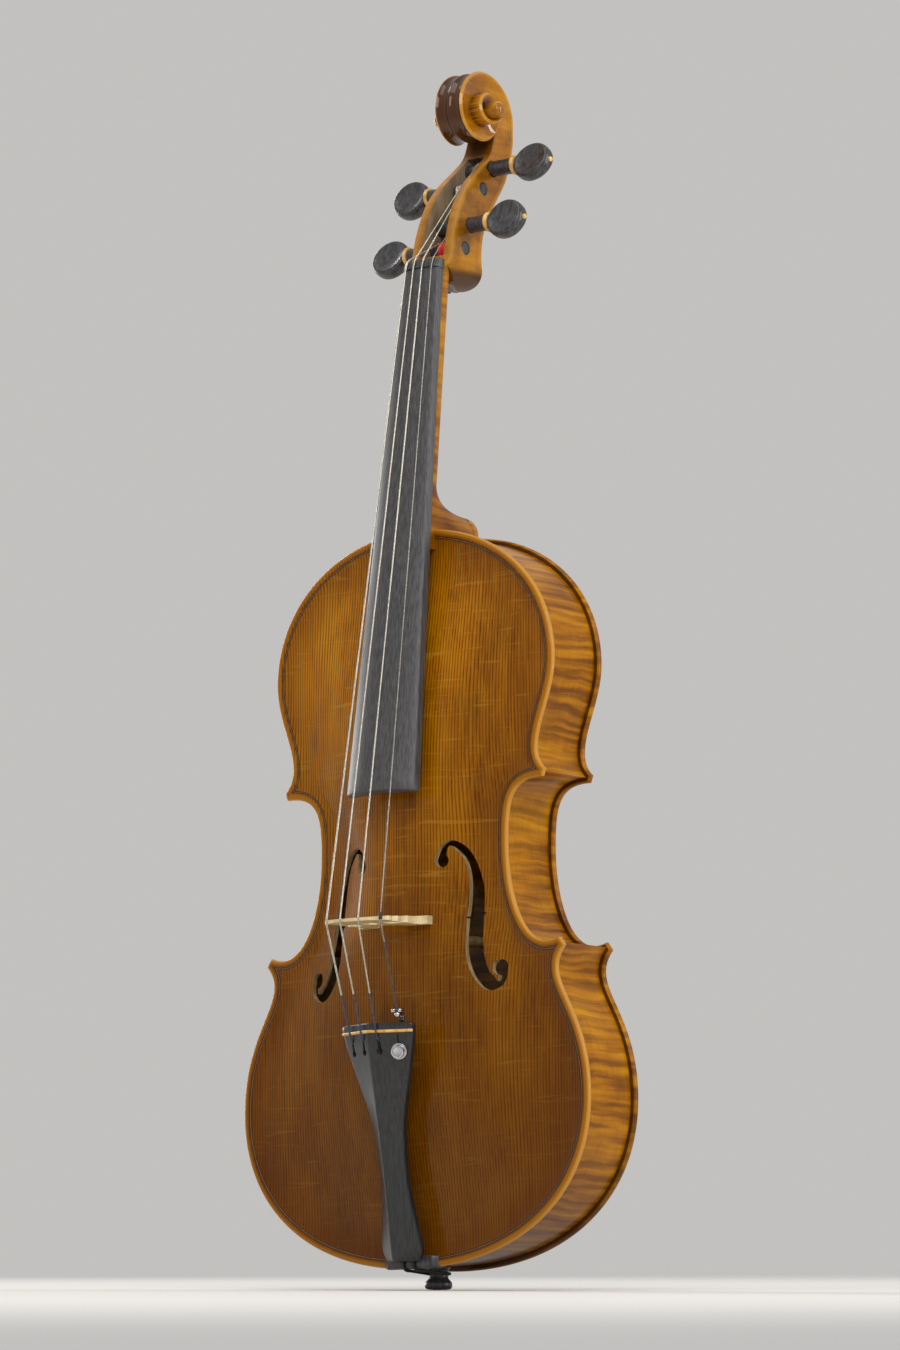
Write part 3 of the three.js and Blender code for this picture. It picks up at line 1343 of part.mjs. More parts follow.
function endBlockMesh(bout, size, inwards) {
  const curve = curvesAt(insideInset)[bout];
  const whole = lengths(curve).pop();
  const steps = 5;
  const half = inwards > 0
    ? stretch(curve, steps, 0, whole - size.half)
    : stretch(curve, steps, whole - size.half, 0).reverse();
  half[0].x = 0;
  const other = half.slice(1).reverse().map((p) => V2(-p.x, p.y));
  const deepZ = half[0].y + inwards * size.depth;
  const ends = [V2(half[steps].x, deepZ), V2(-half[steps].x, deepZ)];
  return slab(mirrored([...other, ...half, ...ends], treble), ribFront, ribBack);
}

function bassBarMesh() {
  const rings = [];
  const steps = 10;
  const foot = bodyBottom + bodyLength * bassBar.footShare;
  const long = bodyLength * bassBar.lengthShare;
  for (let i = 0; i <= steps; i++) {
    const share = i / steps;
    const z = foot + long * share;
    const x = bass * (bassBar.aside + bassBar.slant * (1 - 2 * share));
    const swell = Math.sin(Math.PI * share) ** 2;
    const tall = bassBar.endHeight + (bassBar.height - bassBar.endHeight) * swell;
    const half = bassBar.width / 2;
    const left = frontAt(x - half, z, -1) + seat;
    const right = frontAt(x + half, z, -1) + seat;
    const deep = Math.max(left, right) + tall;
    rings.push([
      new THREE.Vector3(x - half, left, z), new THREE.Vector3(x + half, right, z),
      new THREE.Vector3(x + half, deep, z), new THREE.Vector3(x - half, deep, z),
    ]);
  }
  return loft(rings);
}

function soundPostMesh() {
  const z = bridgeZ - soundPost.behind;
  const ring = (height) => {
    const out = [];
    for (let i = 0; i < soundPost.sides; i++) {
      const turn = (2 * Math.PI * i) / soundPost.sides;
      const px = soundPost.aside + soundPost.radius * Math.cos(turn);
      const pz = z + soundPost.radius * Math.sin(turn);
      out.push(new THREE.Vector3(px, height(px, pz), pz));
    }
    return out;
  };
  return loft([
    ring((px, pz) => frontAt(px, pz, -1) + seat), ring((px, pz) => backAt(px, pz, -1) - seat),
  ]);
}

function saddleNotch(grow) {
  const deep = plateEdge + channel.drop + overrun;
  const tall = saddle.depth + overrun;
  const top = bodyBottom + saddle.depth + grow;
  return block((saddle.half + grow) * 2, deep, tall, 0, -glueY - deep / 2 + overrun / 2, top - tall / 2);
}

function saddleMesh() {
  const top = -(edgeY + saddle.rise);
  const round = saddle.round;
  const profile = [
    [-glueY - seat, bodyBottom], [top + round, bodyBottom], [top + saddle.bevel, bodyBottom + saddle.bevel],
    [top, bodyBottom + round], [top, bodyBottom + saddle.depth - round / 2],
    [top + round / 2, bodyBottom + saddle.depth], [-glueY - seat, bodyBottom + saddle.depth],
  ];
  const full = (x) => profile.map(([y, z]) => new THREE.Vector3(x, y, z));
  const low = (x) => profile.map(([y, z]) => new THREE.Vector3(x, Math.max(y, -edgeY), z));
  const shoulder = saddle.half * saddle.fullShare;
  return loft([low(-saddle.half), full(-shoulder), full(shoulder), low(saddle.half)]);
}

function endButtonMesh() {
  const base = bodyBottom + overhang - seat;
  const lip = endButton.capWidth / 4;
  const grooveTop = base - endButton.flangeWidth;
  return turned([
    [0, 0], [endButton.cap - lip, 0], [endButton.cap, lip], [endButton.cap, endButton.capWidth - lip / 2],
    [endButton.waist, endButton.capWidth + lip / 2], [endButton.waist, grooveTop - lip / 2],
    [endButton.flange, grooveTop + lip / 2], [endButton.flange, base], [endButton.plug, base],
    [endButton.plugEnd, base + endButton.plugLength], [0, base + endButton.plugLength],
  ], 14, "z", 0, 0, 0);
}

function gutMesh() {
  const off = gut.radius + seat;
  const around = endButton.waist + off;
  const grooveZ = (endButton.capWidth + bodyBottom + overhang - endButton.flangeWidth) / 2;
  const crest = -(edgeY + saddle.rise + off);
  const outZ = bodyBottom - off;
  const half = [
    [gut.spread, tailUnder(gut.spread, gut.tuck) + off + seat, gut.tuck],
    [gut.spread, crest, bodyBottom + saddle.depth - saddle.round / 2],
    [gut.spread, crest, bodyBottom + saddle.round],
    [gut.spread, crest + saddle.round, outZ],
    [gut.spread, -glueY, outZ],
    [around, 0, grooveZ],
  ];
  const steps = 6;
  const back = [];
  for (let i = 1; i < steps; i++) {
    const turn = (Math.PI * i) / steps;
    back.push([around * Math.cos(turn), around * Math.sin(turn), grooveZ]);
  }
  const other = [...half].reverse().map(([x, y, z]) => [-x, y, z]);
  const route = [...half, ...back, ...other].map(([x, y, z]) => new THREE.Vector3(x, y, z));
  return tube(route, gut.radius, gut.sides);
}

function buttonMesh() {
  const points = [];
  const steps = 10;
  for (let i = 0; i <= steps; i++) {
    const turn = (Math.PI * i) / steps;
    points.push(V2(button.radius * Math.cos(turn), buttonCentre + button.radius * Math.sin(turn)));
  }
  const low = bodyTop - overhang;
  return slab([V2(button.radius, low), ...points, V2(-button.radius, low)], glueY, edgeY);
}

function headMesh() {
  const solid = union(neckMesh(), scrollMesh(), eyeMesh());
  return cut(solid, cavityMesh(), ...Object.keys(pegShares).map(pegHole));
}

// Put the instrument together
const saddleRoom = saddleNotch(seat);
const frontHoles = [soundHoleCutter(treble), soundHoleCutter(bass), neckSocket(), saddleRoom];
add("top_plate", cut(frontPlate, ...frontHoles), "spruce");
add("back_plate", union(backPlate, buttonMesh()), "maple");

const handName = { [treble]: "treble", [bass]: "bass" };
const frontPurfling = purflingStrip(-1);
for (const hand of [treble, bass]) {
  const wide = lowerBout.half * 2;
  const tall = bodyLength * 2;
  const other = block(wide, tall, tall, hand * (seat / 2 - wide / 2), 0, bodyBottom + bodyLength / 2);
  add(`top_purfling_${handName[hand]}`, cut(frontPurfling, other, neckSocket(), saddleRoom), "purfling");
}
add("back_purfling", purflingStrip(1), "purfling");

for (const hand of [treble, bass]) {
  for (const bout of ["lower", "waist", "upper"]) {
    add(`${bout}_rib_${handName[hand]}`, ribMesh(bout, hand), "maple");
    add(`${bout}_top_lining_${handName[hand]}`, liningMesh(bout, hand, -1), "bareWillow");
    add(`${bout}_back_lining_${handName[hand]}`, liningMesh(bout, hand, 1), "bareWillow");
  }
  add(`lower_corner_block_${handName[hand]}`, cornerMesh("lower", "waist", hand), "bareWillow");
  add(`upper_corner_block_${handName[hand]}`, cornerMesh("waist", "upper", hand), "bareWillow");
}
add("bottom_block", cut(endBlockMesh("lower", endBlock, 1), plugHole()), "bareWillow");
add("top_block", cut(endBlockMesh("upper", neckBlock, -1), neckSocket()), "bareWillow");
add("bass_bar", bassBarMesh(), "bareSpruce");
add("sound_post", soundPostMesh(), "bareSpruce");

add("neck_and_scroll", headMesh(), "maple");
add("fingerboard", boardMesh, "ebony");
add("nut", nutMesh(), "ebony");
add("saddle", saddleMesh(), "ebony");
add("end_button", endButtonMesh(), "ebony");
add("tailpiece", tailpieceMesh(), "ebony");
add("tailpiece_fret", fretMesh(), "boxwood");
add("tail_gut", gutMesh(), "gut");
add("bridge", bridgeMesh(), "bridgeMaple");
add("bridge_protector", protectorMesh(), "gut");

add("tuner_frame", onTuner(tunerFrame()), "steel");
add("tuner_lever", onTuner(tunerLever()), "steel");
add("tuner_screw", onTuner(tunerScrew()), "steel");
add("tuner_screw_head", onTuner(tunerHead()), "steel");
add("tuner_nut", onTuner(tunerNut()), "steel");

for (const name of Object.keys(strings)) {
  add(`peg_${name}`, cut(pegMesh(name), coilHole(name)), "ebony");
  add(`winding_${name}`, tube(coilRoute(name), strings[name].radius, coil.sides), strings[name].look);
  add(`string_${name}`, stringMesh(name), "stringWire");
  console.log(`winding_${name}: least gap between its passes ${coilGap(name).toFixed(2)} mm`);
}

export default group;
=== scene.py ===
import math

import bmesh
import bpy
import numpy as np
from mathutils import Matrix, Vector
from mathutils.kdtree import KDTree


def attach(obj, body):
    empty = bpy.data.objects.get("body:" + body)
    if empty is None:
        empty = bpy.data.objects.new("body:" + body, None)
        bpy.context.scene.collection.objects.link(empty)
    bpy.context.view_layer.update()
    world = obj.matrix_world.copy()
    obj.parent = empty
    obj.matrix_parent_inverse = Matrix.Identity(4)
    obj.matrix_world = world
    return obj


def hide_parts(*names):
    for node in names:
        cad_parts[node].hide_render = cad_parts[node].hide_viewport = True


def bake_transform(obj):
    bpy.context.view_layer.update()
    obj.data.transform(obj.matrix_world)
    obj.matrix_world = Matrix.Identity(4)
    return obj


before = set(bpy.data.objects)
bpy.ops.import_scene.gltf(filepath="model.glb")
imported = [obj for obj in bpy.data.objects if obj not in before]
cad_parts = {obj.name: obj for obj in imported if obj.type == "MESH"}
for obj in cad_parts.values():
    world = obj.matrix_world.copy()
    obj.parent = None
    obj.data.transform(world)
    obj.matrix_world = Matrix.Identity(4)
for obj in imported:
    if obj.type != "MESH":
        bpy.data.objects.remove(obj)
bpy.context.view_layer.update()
mm = 0.001
treble, bass = 1, -1
handNames = {treble: "treble", bass: "bass"}
print("frame loaded:", len(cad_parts), "nodes")


# Camera and studio

view = {
    "place": (2.17563, -2.7007, -0.1436), "pitch": 0.139, "roll": 0.0019, "yaw": 0.6764,
    "focal": 6274.84, "frameTall": 1350, "sensor": 36,
}


def makeCamera():
    data = bpy.data.cameras.new("camera")
    data.sensor_width = view["sensor"]
    data.lens = view["focal"] * view["sensor"] / view["frameTall"]
    data.clip_end = 100
    camera = bpy.data.objects.new("camera", data)
    camera.location = view["place"]
    camera.rotation_euler = (math.pi / 2 + view["pitch"], view["roll"], view["yaw"])
    bpy.context.scene.collection.objects.link(camera)
    bpy.context.scene.camera = camera


def linearColour(hexColour):
    parts = [int(hexColour[i:i + 2], 16) / 255 for i in (1, 3, 5)]
    return [p / 12.92 if p <= 0.04045 else ((p + 0.055) / 1.055) ** 2.4 for p in parts] + [1]


# Adds a node, sets its properties, and fills or links its sockets
def addNode(tree, kind, inputs=None, stops=None, **settings):
    node = tree.nodes.new(kind)
    for key, value in settings.items():
        setattr(node, key, value)
    for key, value in (inputs or {}).items():
        if isinstance(value, bpy.types.NodeSocket):
            tree.links.new(value, node.inputs[key])
        else:
            node.inputs[key].default_value = value
    if stops:
        ramp = node.color_ramp
        while len(ramp.elements) < len(stops):
            ramp.elements.new(0.5)
        for element, (place, colour) in zip(ramp.elements, stops):
            element.position = place
            element.color = linearColour(colour) if isinstance(colour, str) else (colour, colour, colour, 1)
    return node


studio = {
    "floorColour": "#DAD7D1", "wallColour": "#C2C1BF", "worldStrength": 0.56, "slope": 0.0481, "drop": 0.0004,
    "reach": 40,
    "lamps": [
        {"name": "left_softbox", "place": (-2.55, 0.6, 1.2), "size": (0.4, 2.4), "power": 42},
        {"name": "right_softbox", "place": (2.4, 1.0, 1.1), "size": (0.28, 2.2), "power": 27},
        {"name": "top_softbox", "place": (0.1, -0.9, 2.9), "size": (1.6, 1.4), "power": 16},
        {"name": "front_fill", "place": (2.3, -2.5, 2.2), "size": (2.2, 1.8), "power": 60},
    ],
}


# 1 for the rays that show the background itself, in view, in gloss and through glass
def seenRays(tree):
    path = addNode(tree, "ShaderNodeLightPath")
    seen = addNode(tree, "ShaderNodeMath", {0: path.outputs["Is Camera Ray"], 1: path.outputs["Is Glossy Ray"]}, operation="MAXIMUM")
    return addNode(tree, "ShaderNodeMath", {0: seen.outputs[0], 1: path.outputs["Is Transmission Ray"]}, operation="MAXIMUM").outputs[0]


def makeStudio():
    for lamp in studio["lamps"]:
        data = bpy.data.lights.new(lamp["name"], "AREA")
        data.shape = "RECTANGLE"
        data.size, data.size_y = lamp["size"]
        data.energy = lamp["power"]
        light = bpy.data.objects.new(lamp["name"], data)
        light.location = lamp["place"]
        aim = Vector((0, 0, 0.34)) - light.location
        light.rotation_euler = aim.to_track_quat("-Z", "Y").to_euler()
        bpy.context.scene.collection.objects.link(light)

    world = bpy.data.worlds.new("studio")
    world.use_nodes = True
    tree = world.node_tree
    tree.nodes.clear()
    soft = addNode(tree, "ShaderNodeBackground", {"Color": linearColour("#FFFFFF"), "Strength": studio["worldStrength"]})
    wall = addNode(tree, "ShaderNodeBackground", {"Color": linearColour(studio["wallColour"]), "Strength": 1})
    both = addNode(tree, "ShaderNodeMixShader", {0: seenRays(tree), 1: soft.outputs[0], 2: wall.outputs[0]})
    addNode(tree, "ShaderNodeOutputWorld", {"Surface": both.outputs[0]})
    bpy.context.scene.world = world
    bpy.context.scene.view_settings.view_transform = "Standard"

    # The photographed instrument leans back a little, so the floor falls away towards the camera
    toward = Vector((view["place"][0], view["place"][1], 0)).normalized()
    reach = studio["reach"]
    corners = [(x * reach, y * reach) for x, y in ((-1, -1), (1, -1), (1, 1), (-1, 1))]
    points = [(x, y, -studio["slope"] * (x * toward.x + y * toward.y) - studio["drop"]) for x, y in corners]
    mesh = bpy.data.meshes.new("floor")
    mesh.from_pydata(points, [], [(0, 1, 2, 3)])
    floor = bpy.data.objects.new("floor", mesh)
    bpy.context.scene.collection.objects.link(floor)
    material = bpy.data.materials.new("matt_painted_board")  # plain pale studio floor, seen only from above
    material.use_nodes = True
    tree = material.node_tree
    tree.nodes.clear()
    paint = addNode(tree, "ShaderNodeBsdfPrincipled", {"Base Color": linearColour(studio["floorColour"]), "Roughness": 0.75})
    clear = addNode(tree, "ShaderNodeBsdfTransparent")
    side = addNode(tree, "ShaderNodeNewGeometry")
    away = addNode(tree, "ShaderNodeVectorMath", {0: side.outputs["Position"]}, operation="LENGTH")
    far = addNode(tree, "ShaderNodeMapRange", {"Value": away.outputs["Value"], "From Min": 0.5, "From Max": 1.9}, interpolation_type="SMOOTHSTEP")
    share = addNode(tree, "ShaderNodeMath", {0: far.outputs[0], 1: seenRays(tree)}, operation="MULTIPLY")
    wall = addNode(tree, "ShaderNodeEmission", {"Color": linearColour(studio["wallColour"]), "Strength": 1})
    sweep = addNode(tree, "ShaderNodeMixShader", {0: share.outputs[0], 1: paint.outputs[0], 2: wall.outputs[0]})
    both = addNode(tree, "ShaderNodeMixShader", {0: side.outputs["Backfacing"], 1: sweep.outputs[0], 2: clear.outputs[0]})
    addNode(tree, "ShaderNodeOutputMaterial", {"Surface": both.outputs[0]})
    mesh.materials.append(material)


makeCamera()
makeStudio()
print("camera and studio ready")


# Meshes

def makeMesh(name, points, faces, material, body, nodes=(), sharp=32, wood=None, indices=None):
    mesh = bpy.data.meshes.new(name)
    mesh.from_pydata((np.asarray(points) * mm).tolist(), [], [tuple(map(int, f)) for f in faces])
    mesh.validate()
    for one in material if isinstance(material, (list, tuple)) else [material]:
        mesh.materials.append(one)
    if indices is not None and len(indices) == len(mesh.polygons):
        mesh.polygons.foreach_set("material_index", np.asarray(indices, np.int32))
    if wood is not None and len(wood) == len(mesh.vertices):
        setPlace(mesh, wood)
    obj = bpy.data.objects.new(name, mesh)
    bpy.context.scene.collection.objects.link(obj)
    finishMesh(obj, sharp)
    if body:
        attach(obj, body)
    if nodes:
        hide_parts(*nodes)
    return obj


# Each piece's own place in its timber, in metres: across the grain, through it, along it
def setPlace(mesh, wood):
    attribute = mesh.attributes.get("timber") or mesh.attributes.new("timber", "FLOAT_VECTOR", "POINT")
    attribute.data.foreach_set("vector", (np.asarray(wood, float) * mm).astype(np.float32).ravel())


def setFloat(mesh, name, values):
    attribute = mesh.attributes.get(name) or mesh.attributes.new(name, "FLOAT", "POINT")
    attribute.data.foreach_set("value", np.asarray(values, np.float32))


def meshPoints(obj):
    flat = np.zeros(len(obj.data.vertices) * 3)
    obj.data.vertices.foreach_get("co", flat)
    return flat.reshape(-1, 3) / mm


def finishMesh(obj, sharp):
    mesh = obj.data
    work = bmesh.new()
    work.from_mesh(mesh)
    bmesh.ops.remove_doubles(work, verts=work.verts, dist=0.00001)
    bmesh.ops.recalc_face_normals(work, faces=work.faces)
    work.to_mesh(mesh)
    work.free()
    mesh.polygons.foreach_set("use_smooth", [True] * len(mesh.polygons))
    mesh.set_sharp_from_angle(angle=math.radians(sharp))


# Runs a modifier and keeps its result
def applyModifier(obj, kind, **settings):
    modifier = obj.modifiers.new(kind.lower(), kind)
    for key, value in settings.items():
        setattr(modifier, key, value)
    bpy.context.view_layer.update()
    mesh = bpy.data.meshes.new_from_object(obj.evaluated_get(bpy.context.evaluated_depsgraph_get()))
    obj.modifiers.clear()
    old = obj.data
    obj.data = mesh
    bpy.data.meshes.remove(old)
    return obj


def cutAway(obj, *cutters, sharp=32):
    for cutter in cutters:
        applyModifier(obj, "BOOLEAN", object=cutter, operation="DIFFERENCE", solver="EXACT", material_mode="TRANSFER")
        bpy.data.objects.remove(cutter)
    obj.data.polygons.foreach_set("use_smooth", [True] * len(obj.data.polygons))
    obj.data.set_sharp_from_angle(angle=math.radians(sharp))
    return obj


def bandFaces(rows, columns, around=True, first=0):
    faces = []
    for i in range(rows - 1):
        for j in range(columns if around else columns - 1):
            k = (j + 1) % columns
            a, b = first + i * columns, first + (i + 1) * columns
            faces.append((a + j, a + k, b + k, b + j))
    return faces


# A closed loft through rings of equally many points
def loft(rings, caps=True):
    rings = np.asarray(rings, float)
    rows, columns = rings.shape[:2]
    faces = bandFaces(rows, columns)
    if caps:
        faces.append(tuple(range(columns))[::-1])
        faces.append(tuple((rows - 1) * columns + j for j in range(columns)))
    return rings.reshape(-1, 3), faces


def together(*parts):
    points, faces, indices = [], [], []
    for number, part in enumerate(parts):
        start = sum(len(p) for p in points)
        points.append(np.asarray(part[0], float))
        faces += [tuple(i + start for i in face) for face in part[1]]
        indices += [number] * len(part[1])
    return np.vstack(points), faces, indices


# A smooth curve through every point of an open row, or of a closed one
def smoothRow(points, fine, closed=False):
    points = np.asarray(points, float)
    count = len(points)
    if closed:
        padded = np.vstack([points[-1:], points, points[:2]])
        spans = count
    else:
        padded = np.vstack([2 * points[:1] - points[1:2], points, 2 * points[-1:] - points[-2:-1]])
        spans = count - 1
    out = []
    shares = np.arange(fine) / fine
    shares = shares.reshape((-1,) + (1,) * (points.ndim - 1))
    for i in range(spans):
        a, b, c, d = padded[i:i + 4]
        out.append(0.5 * (2 * b + (c - a) * shares + (2 * a - 5 * b + 4 * c - d) * shares ** 2
                          + (3 * b - a - 3 * c + d) * shares ** 3))
    if not closed:
        out.append(points[-1:])
    return np.concatenate(out)


# A lathe profile of [radius, place] turned about a line through a point
def lathe(profile, sides, axis=(0, 0, 1), origin=(0, 0, 0)):
    turn = Vector((0, 0, 1)).rotation_difference(Vector(axis)).to_matrix()
    angles = np.arange(sides) * 2 * math.pi / sides
    rings = [np.stack([r * np.cos(angles), r * np.sin(angles), np.full(sides, h)], 1) for r, h in profile]
    points, faces = loft(rings)
    return points @ np.array(turn).T + np.array(origin), faces


# A round tube along a row of points, with the length along it at each of its points
def tube(path, radius, sides=12):
    path = np.asarray(path, float)
    tangent = np.gradient(path, axis=0)
    tangent /= np.linalg.norm(tangent, axis=1)[:, None]
    side = np.cross(tangent[0], (0.31, 0.17, 0.93))
    side /= np.linalg.norm(side)
    rings = []
    angles = np.arange(sides) * 2 * math.pi / sides
    radii = np.broadcast_to(radius, len(path))
    for point, along, size in zip(path, tangent, radii):
        side = side - along * side.dot(along)
        side /= np.linalg.norm(side)
        up = np.cross(along, side)
        rings.append(point + size * (np.cos(angles)[:, None] * side + np.sin(angles)[:, None] * up))
    points, faces = loft(rings)
    sums = lengthsAlong(path)
    return points, faces, np.repeat(sums, sides)


def lengthsAlong(path):
    return np.concatenate([[0], np.cumsum(np.linalg.norm(np.diff(path, axis=0), axis=1))])


# Evenly stepped points of a curve, from one length along it to another
def resample(path, count, start=0, back=0):
    sums = lengthsAlong(path)
    places = np.linspace(start, sums[-1] - back, count + 1)
    return np.stack([np.interp(places, sums, path[:, k]) for k in range(path.shape[1])], 1)


# Outline of the body

body = {
    "length": 410, "bottom": 10.5, "glue": 19, "edge": 4.3, "frontArch": 14, "backArch": 12.5, "overhang": 3,
    "ribThickness": 1.3, "channel": 9.5, "channelDrop": 1.7, "thickness": 3, "spineLow": 115, "spineHigh": 110,
    "endDrop": 1.2, "fullness": 0.82, "easing": 58.7,
    "counts": {"lower": 96, "waist": 72, "upper": 84},
}
edgeY = body["glue"] + body["edge"]
bodyTop = body["bottom"] + body["length"]


def bezier(a, b, c, d, count=160):
    t = np.linspace(0, 1, count + 1)[:, None]
    a, b, c, d = (np.array(p, float) for p in (a, b, c, d))
    return a * (1 - t) ** 3 + 3 * b * t * (1 - t) ** 2 + 3 * c * t * t * (1 - t) + d * t ** 3


def aimed(x, z, heading, reach):
    turn = math.radians(heading)
    return x + reach * math.cos(turn), z + reach * math.sin(turn)


# Half of the outline: two curves for each bout, heights counted from the plates' bottom edge
bouts = {
    "lower": np.vstack([
        bezier((0, 0), (71.5, 0), (122, 34.2), (122, 90.4)),
        bezier((122, 90.4), (122, 140.4), aimed(105.7, 172.1, 46.4, -26.3), (105.7, 172.1))[1:],
    ]),
    "waist": np.vstack([
        bezier((102.3, 176.6), aimed(102.3, 176.6, 200.3, 27.1), (66, 203.6), (66, 230.5)),
        bezier((66, 230.5), (66, 254.2), aimed(90.8, 265.2, -1.3, -22.6), (90.8, 265.2))[1:],
    ]),
    "upper": np.vstack([
        bezier((92.4, 269.5), aimed(92.4, 269.5, 139.5, 21.1), (98.5, 306), (98.5, 330.8)),
        bezier((98.5, 330.8), (98.5, 375.1), (58.1, 410), (0, 410))[1:],
    ]),
}


def inward(points, inset):
    along = np.gradient(points, axis=0)
    along /= np.linalg.norm(along, axis=1)[:, None]
    return points + inset * np.stack([-along[:, 1], along[:, 0]], 1)


def lineCrossing(a, b, c, d):
    r, s = b - a, d - c
    return a + r * np.cross(c - a, s) / np.cross(r, s)


# Two neighbouring curves end where they cross, or at the corner's own cut end
def trimPair(before, after, tip):
    a, r = before[:-1, None], np.diff(before, axis=0)[:, None]
    c, s = after[None, :-1], np.diff(after, axis=0)[None]
    area = r[..., 0] * s[..., 1] - r[..., 1] * s[..., 0]
    area = np.where(np.abs(area) < 1e-12, 1e-12, area)
    gap = c - a
    t = (gap[..., 0] * s[..., 1] - gap[..., 1] * s[..., 0]) / area
    u = (gap[..., 0] * r[..., 1] - gap[..., 1] * r[..., 0]) / area
    hits = (t >= 0) & (t <= 1) & (u >= 0) & (u <= 1)
    hits[:len(before) // 2] = False
    hits[:, len(after) // 2:] = False
    if hits.any():
        i, j = np.argwhere(hits)[-1]
        at = before[i] + (before[i + 1] - before[i]) * t[i, j]
        return np.vstack([before[:i + 1], at]), np.vstack([at, after[j + 1:]])
    end = lineCrossing(before[-2], before[-1], *tip)
    start = lineCrossing(after[1], after[0], *tip)
    return np.vstack([before[:-1], end]), np.vstack([start, after[1:]])


curveStore = {}


def curvesAt(inset):
    if inset not in curveStore:
        lower, waist, upper = (inward(bouts[name], inset) for name in ("lower", "waist", "upper"))
        lowTip = inward(np.array([bouts["lower"][-1], bouts["waist"][0]]), inset)
        highTip = inward(np.array([bouts["waist"][-1], bouts["upper"][0]]), inset)
        lower, waist = trimPair(lower, waist, lowTip)
        waist, upper = trimPair(waist, upper, highTip)
        lower[0, 0] = upper[-1, 0] = 0
        curveStore[inset] = {"lower": lower, "waist": waist, "upper": upper}
    return curveStore[inset]


def wholeLoop(half):
    other = half[1:-1][::-1] * (-1, 1)
    return np.vstack([half, other])


def loopAt(inset):
    half = np.vstack([resample(curve, body["counts"][name]) for name, curve in curvesAt(inset).items()])
    return wholeLoop(half) + (0, body["bottom"])


outline = loopAt(0)
halfCount = len(outline) // 2 + 1
loopCount = len(outline)
outlineStep = lengthsAlong(outline[:halfCount])[-1] / (halfCount - 1)


# Corners are eased out of the contours as the arch rises
def eased(points, reach):
    if reach <= 0:
        return points
    waves = np.fft.fft(points, axis=0)
    pitch = np.fft.fftfreq(len(points))[:, None]
    return np.fft.ifft(waves * np.exp(-2 * (math.pi * pitch * reach / outlineStep) ** 2), axis=0).real


innerLoop = loopAt(body["channel"])
spinePlace = lengthsAlong(outline[:halfCount]) / lengthsAlong(outline[:halfCount])[-1]
spinePlace = np.concatenate([spinePlace, spinePlace[1:-1][::-1]])
spineFrom = body["bottom"] + body["spineLow"]
spineTo = bodyTop - body["spineHigh"]
spineLine = np.stack([np.zeros(loopCount), spineFrom + (spineTo - spineFrom) * spinePlace], 1)


def archRing(share, side, arch, lift=0):
    flat = eased(innerLoop, body["easing"] * math.sqrt(share))
    flat = flat + (spineLine - flat) * share
    crown = body["edge"] + arch - body["endDrop"] * (2 * spinePlace - 1) ** 2
    low = body["edge"] - body["channelDrop"]
    height = low + (crown - low) * (1 - math.cos(math.pi * share ** body["fullness"])) / 2 - lift
    return np.stack([flat[:, 0], side * (body["glue"] + np.maximum(height, 0)), flat[:, 1]], 1)


# The rounded edge and the scoop inside it, as [inset, height]
edgeProfile = [
    (2.2, 0), (1.2, 0.02), (0.62, 0.3), (0.22, 0.85), (0.02, 1.6), (0, 2.2), (0.14, 2.9), (0.5, 3.55), (1.05, 4.05),
    (1.7, 4.27), (2.3, 4.3), (2.9, 4.14), (3.4, 3.9),
]
scoopProfile = [(5.9, 3.15), (6.8, 2.93), (7.7, 2.77), (8.6, 2.66)]
purfling = {"inset": 3.95, "width": 1.35, "height": 3.62, "fall": 0.2, "depth": 0.9}


# The outer face's rings, then the inner face's
def plateRings(side, arch):
    ring = lambda inset, height: np.insert(loopAt(inset), 1, side * (body["glue"] + height), axis=1)
    out = purfling["inset"]
    inn = purfling["inset"] + purfling["width"]
    rings = [ring(inset, height) for inset, height in edgeProfile]
    rings += [ring(out, purfling["height"]), ring(out, purfling["height"] - purfling["depth"])]
    rings += [ring(inn, purfling["height"] - purfling["depth"]), ring(inn, purfling["height"] - purfling["fall"])]
    rings += [ring(inset, height) for inset, height in scoopProfile]
    shares = np.linspace(0, 1, 44)[:-1]
    rings += [archRing(share, side, arch) for share in shares]
    rings.append(archRing(1, side, arch))
    return rings, [archRing(share, side, arch, body["thickness"]) for share in [1, *shares[::-3]]]


def plateMesh(side, arch):
    outer, inner = plateRings(side, arch)
    rings = outer + inner
    faces = bandFaces(len(outer), loopCount) + bandFaces(len(inner), loopCount, first=len(outer) * loopCount)
    last = (len(rings) - 1) * loopCount
    faces += [(last + j, last + (j + 1) % loopCount, (j + 1) % loopCount, j) for j in range(loopCount)]
    return np.vstack(rings), faces


outlineTree = KDTree(loopCount)
for index, (x, z) in enumerate(outline):
    outlineTree.insert((x, 0, z), index)
outlineTree.balance()


# How far each point lies inside the outline, and its place in the timber
def markPlate(obj):
    points = meshPoints(obj)
    insets = [outlineTree.find((x, 0, z))[2] for x, y, z in points]
    setFloat(obj.data, "inset", insets)
    setPlace(obj.data, points)


# Height of a plate's outer face at a place
def surfaceOf(side, arch):
    shares = np.linspace(0, 1, 60)
    cloud = np.vstack([archRing(share, side, arch) for share in shares])
    tree = KDTree(len(cloud))
    for number, (x, y, z) in enumerate(cloud):
        tree.insert((x, 0, z), number)
    tree.balance()

    def at(x, z):
        near = tree.find_n((x, 0, z), 6)
        weights = [1 / (distance + 0.01) ** 2 for _, _, distance in near]
        return sum(w * cloud[i][1] for w, (_, i, _) in zip(weights, near)) / sum(weights)
    return at


frontAt = surfaceOf(-1, body["frontArch"])
backAt = surfaceOf(1, body["backArch"])


# Materials

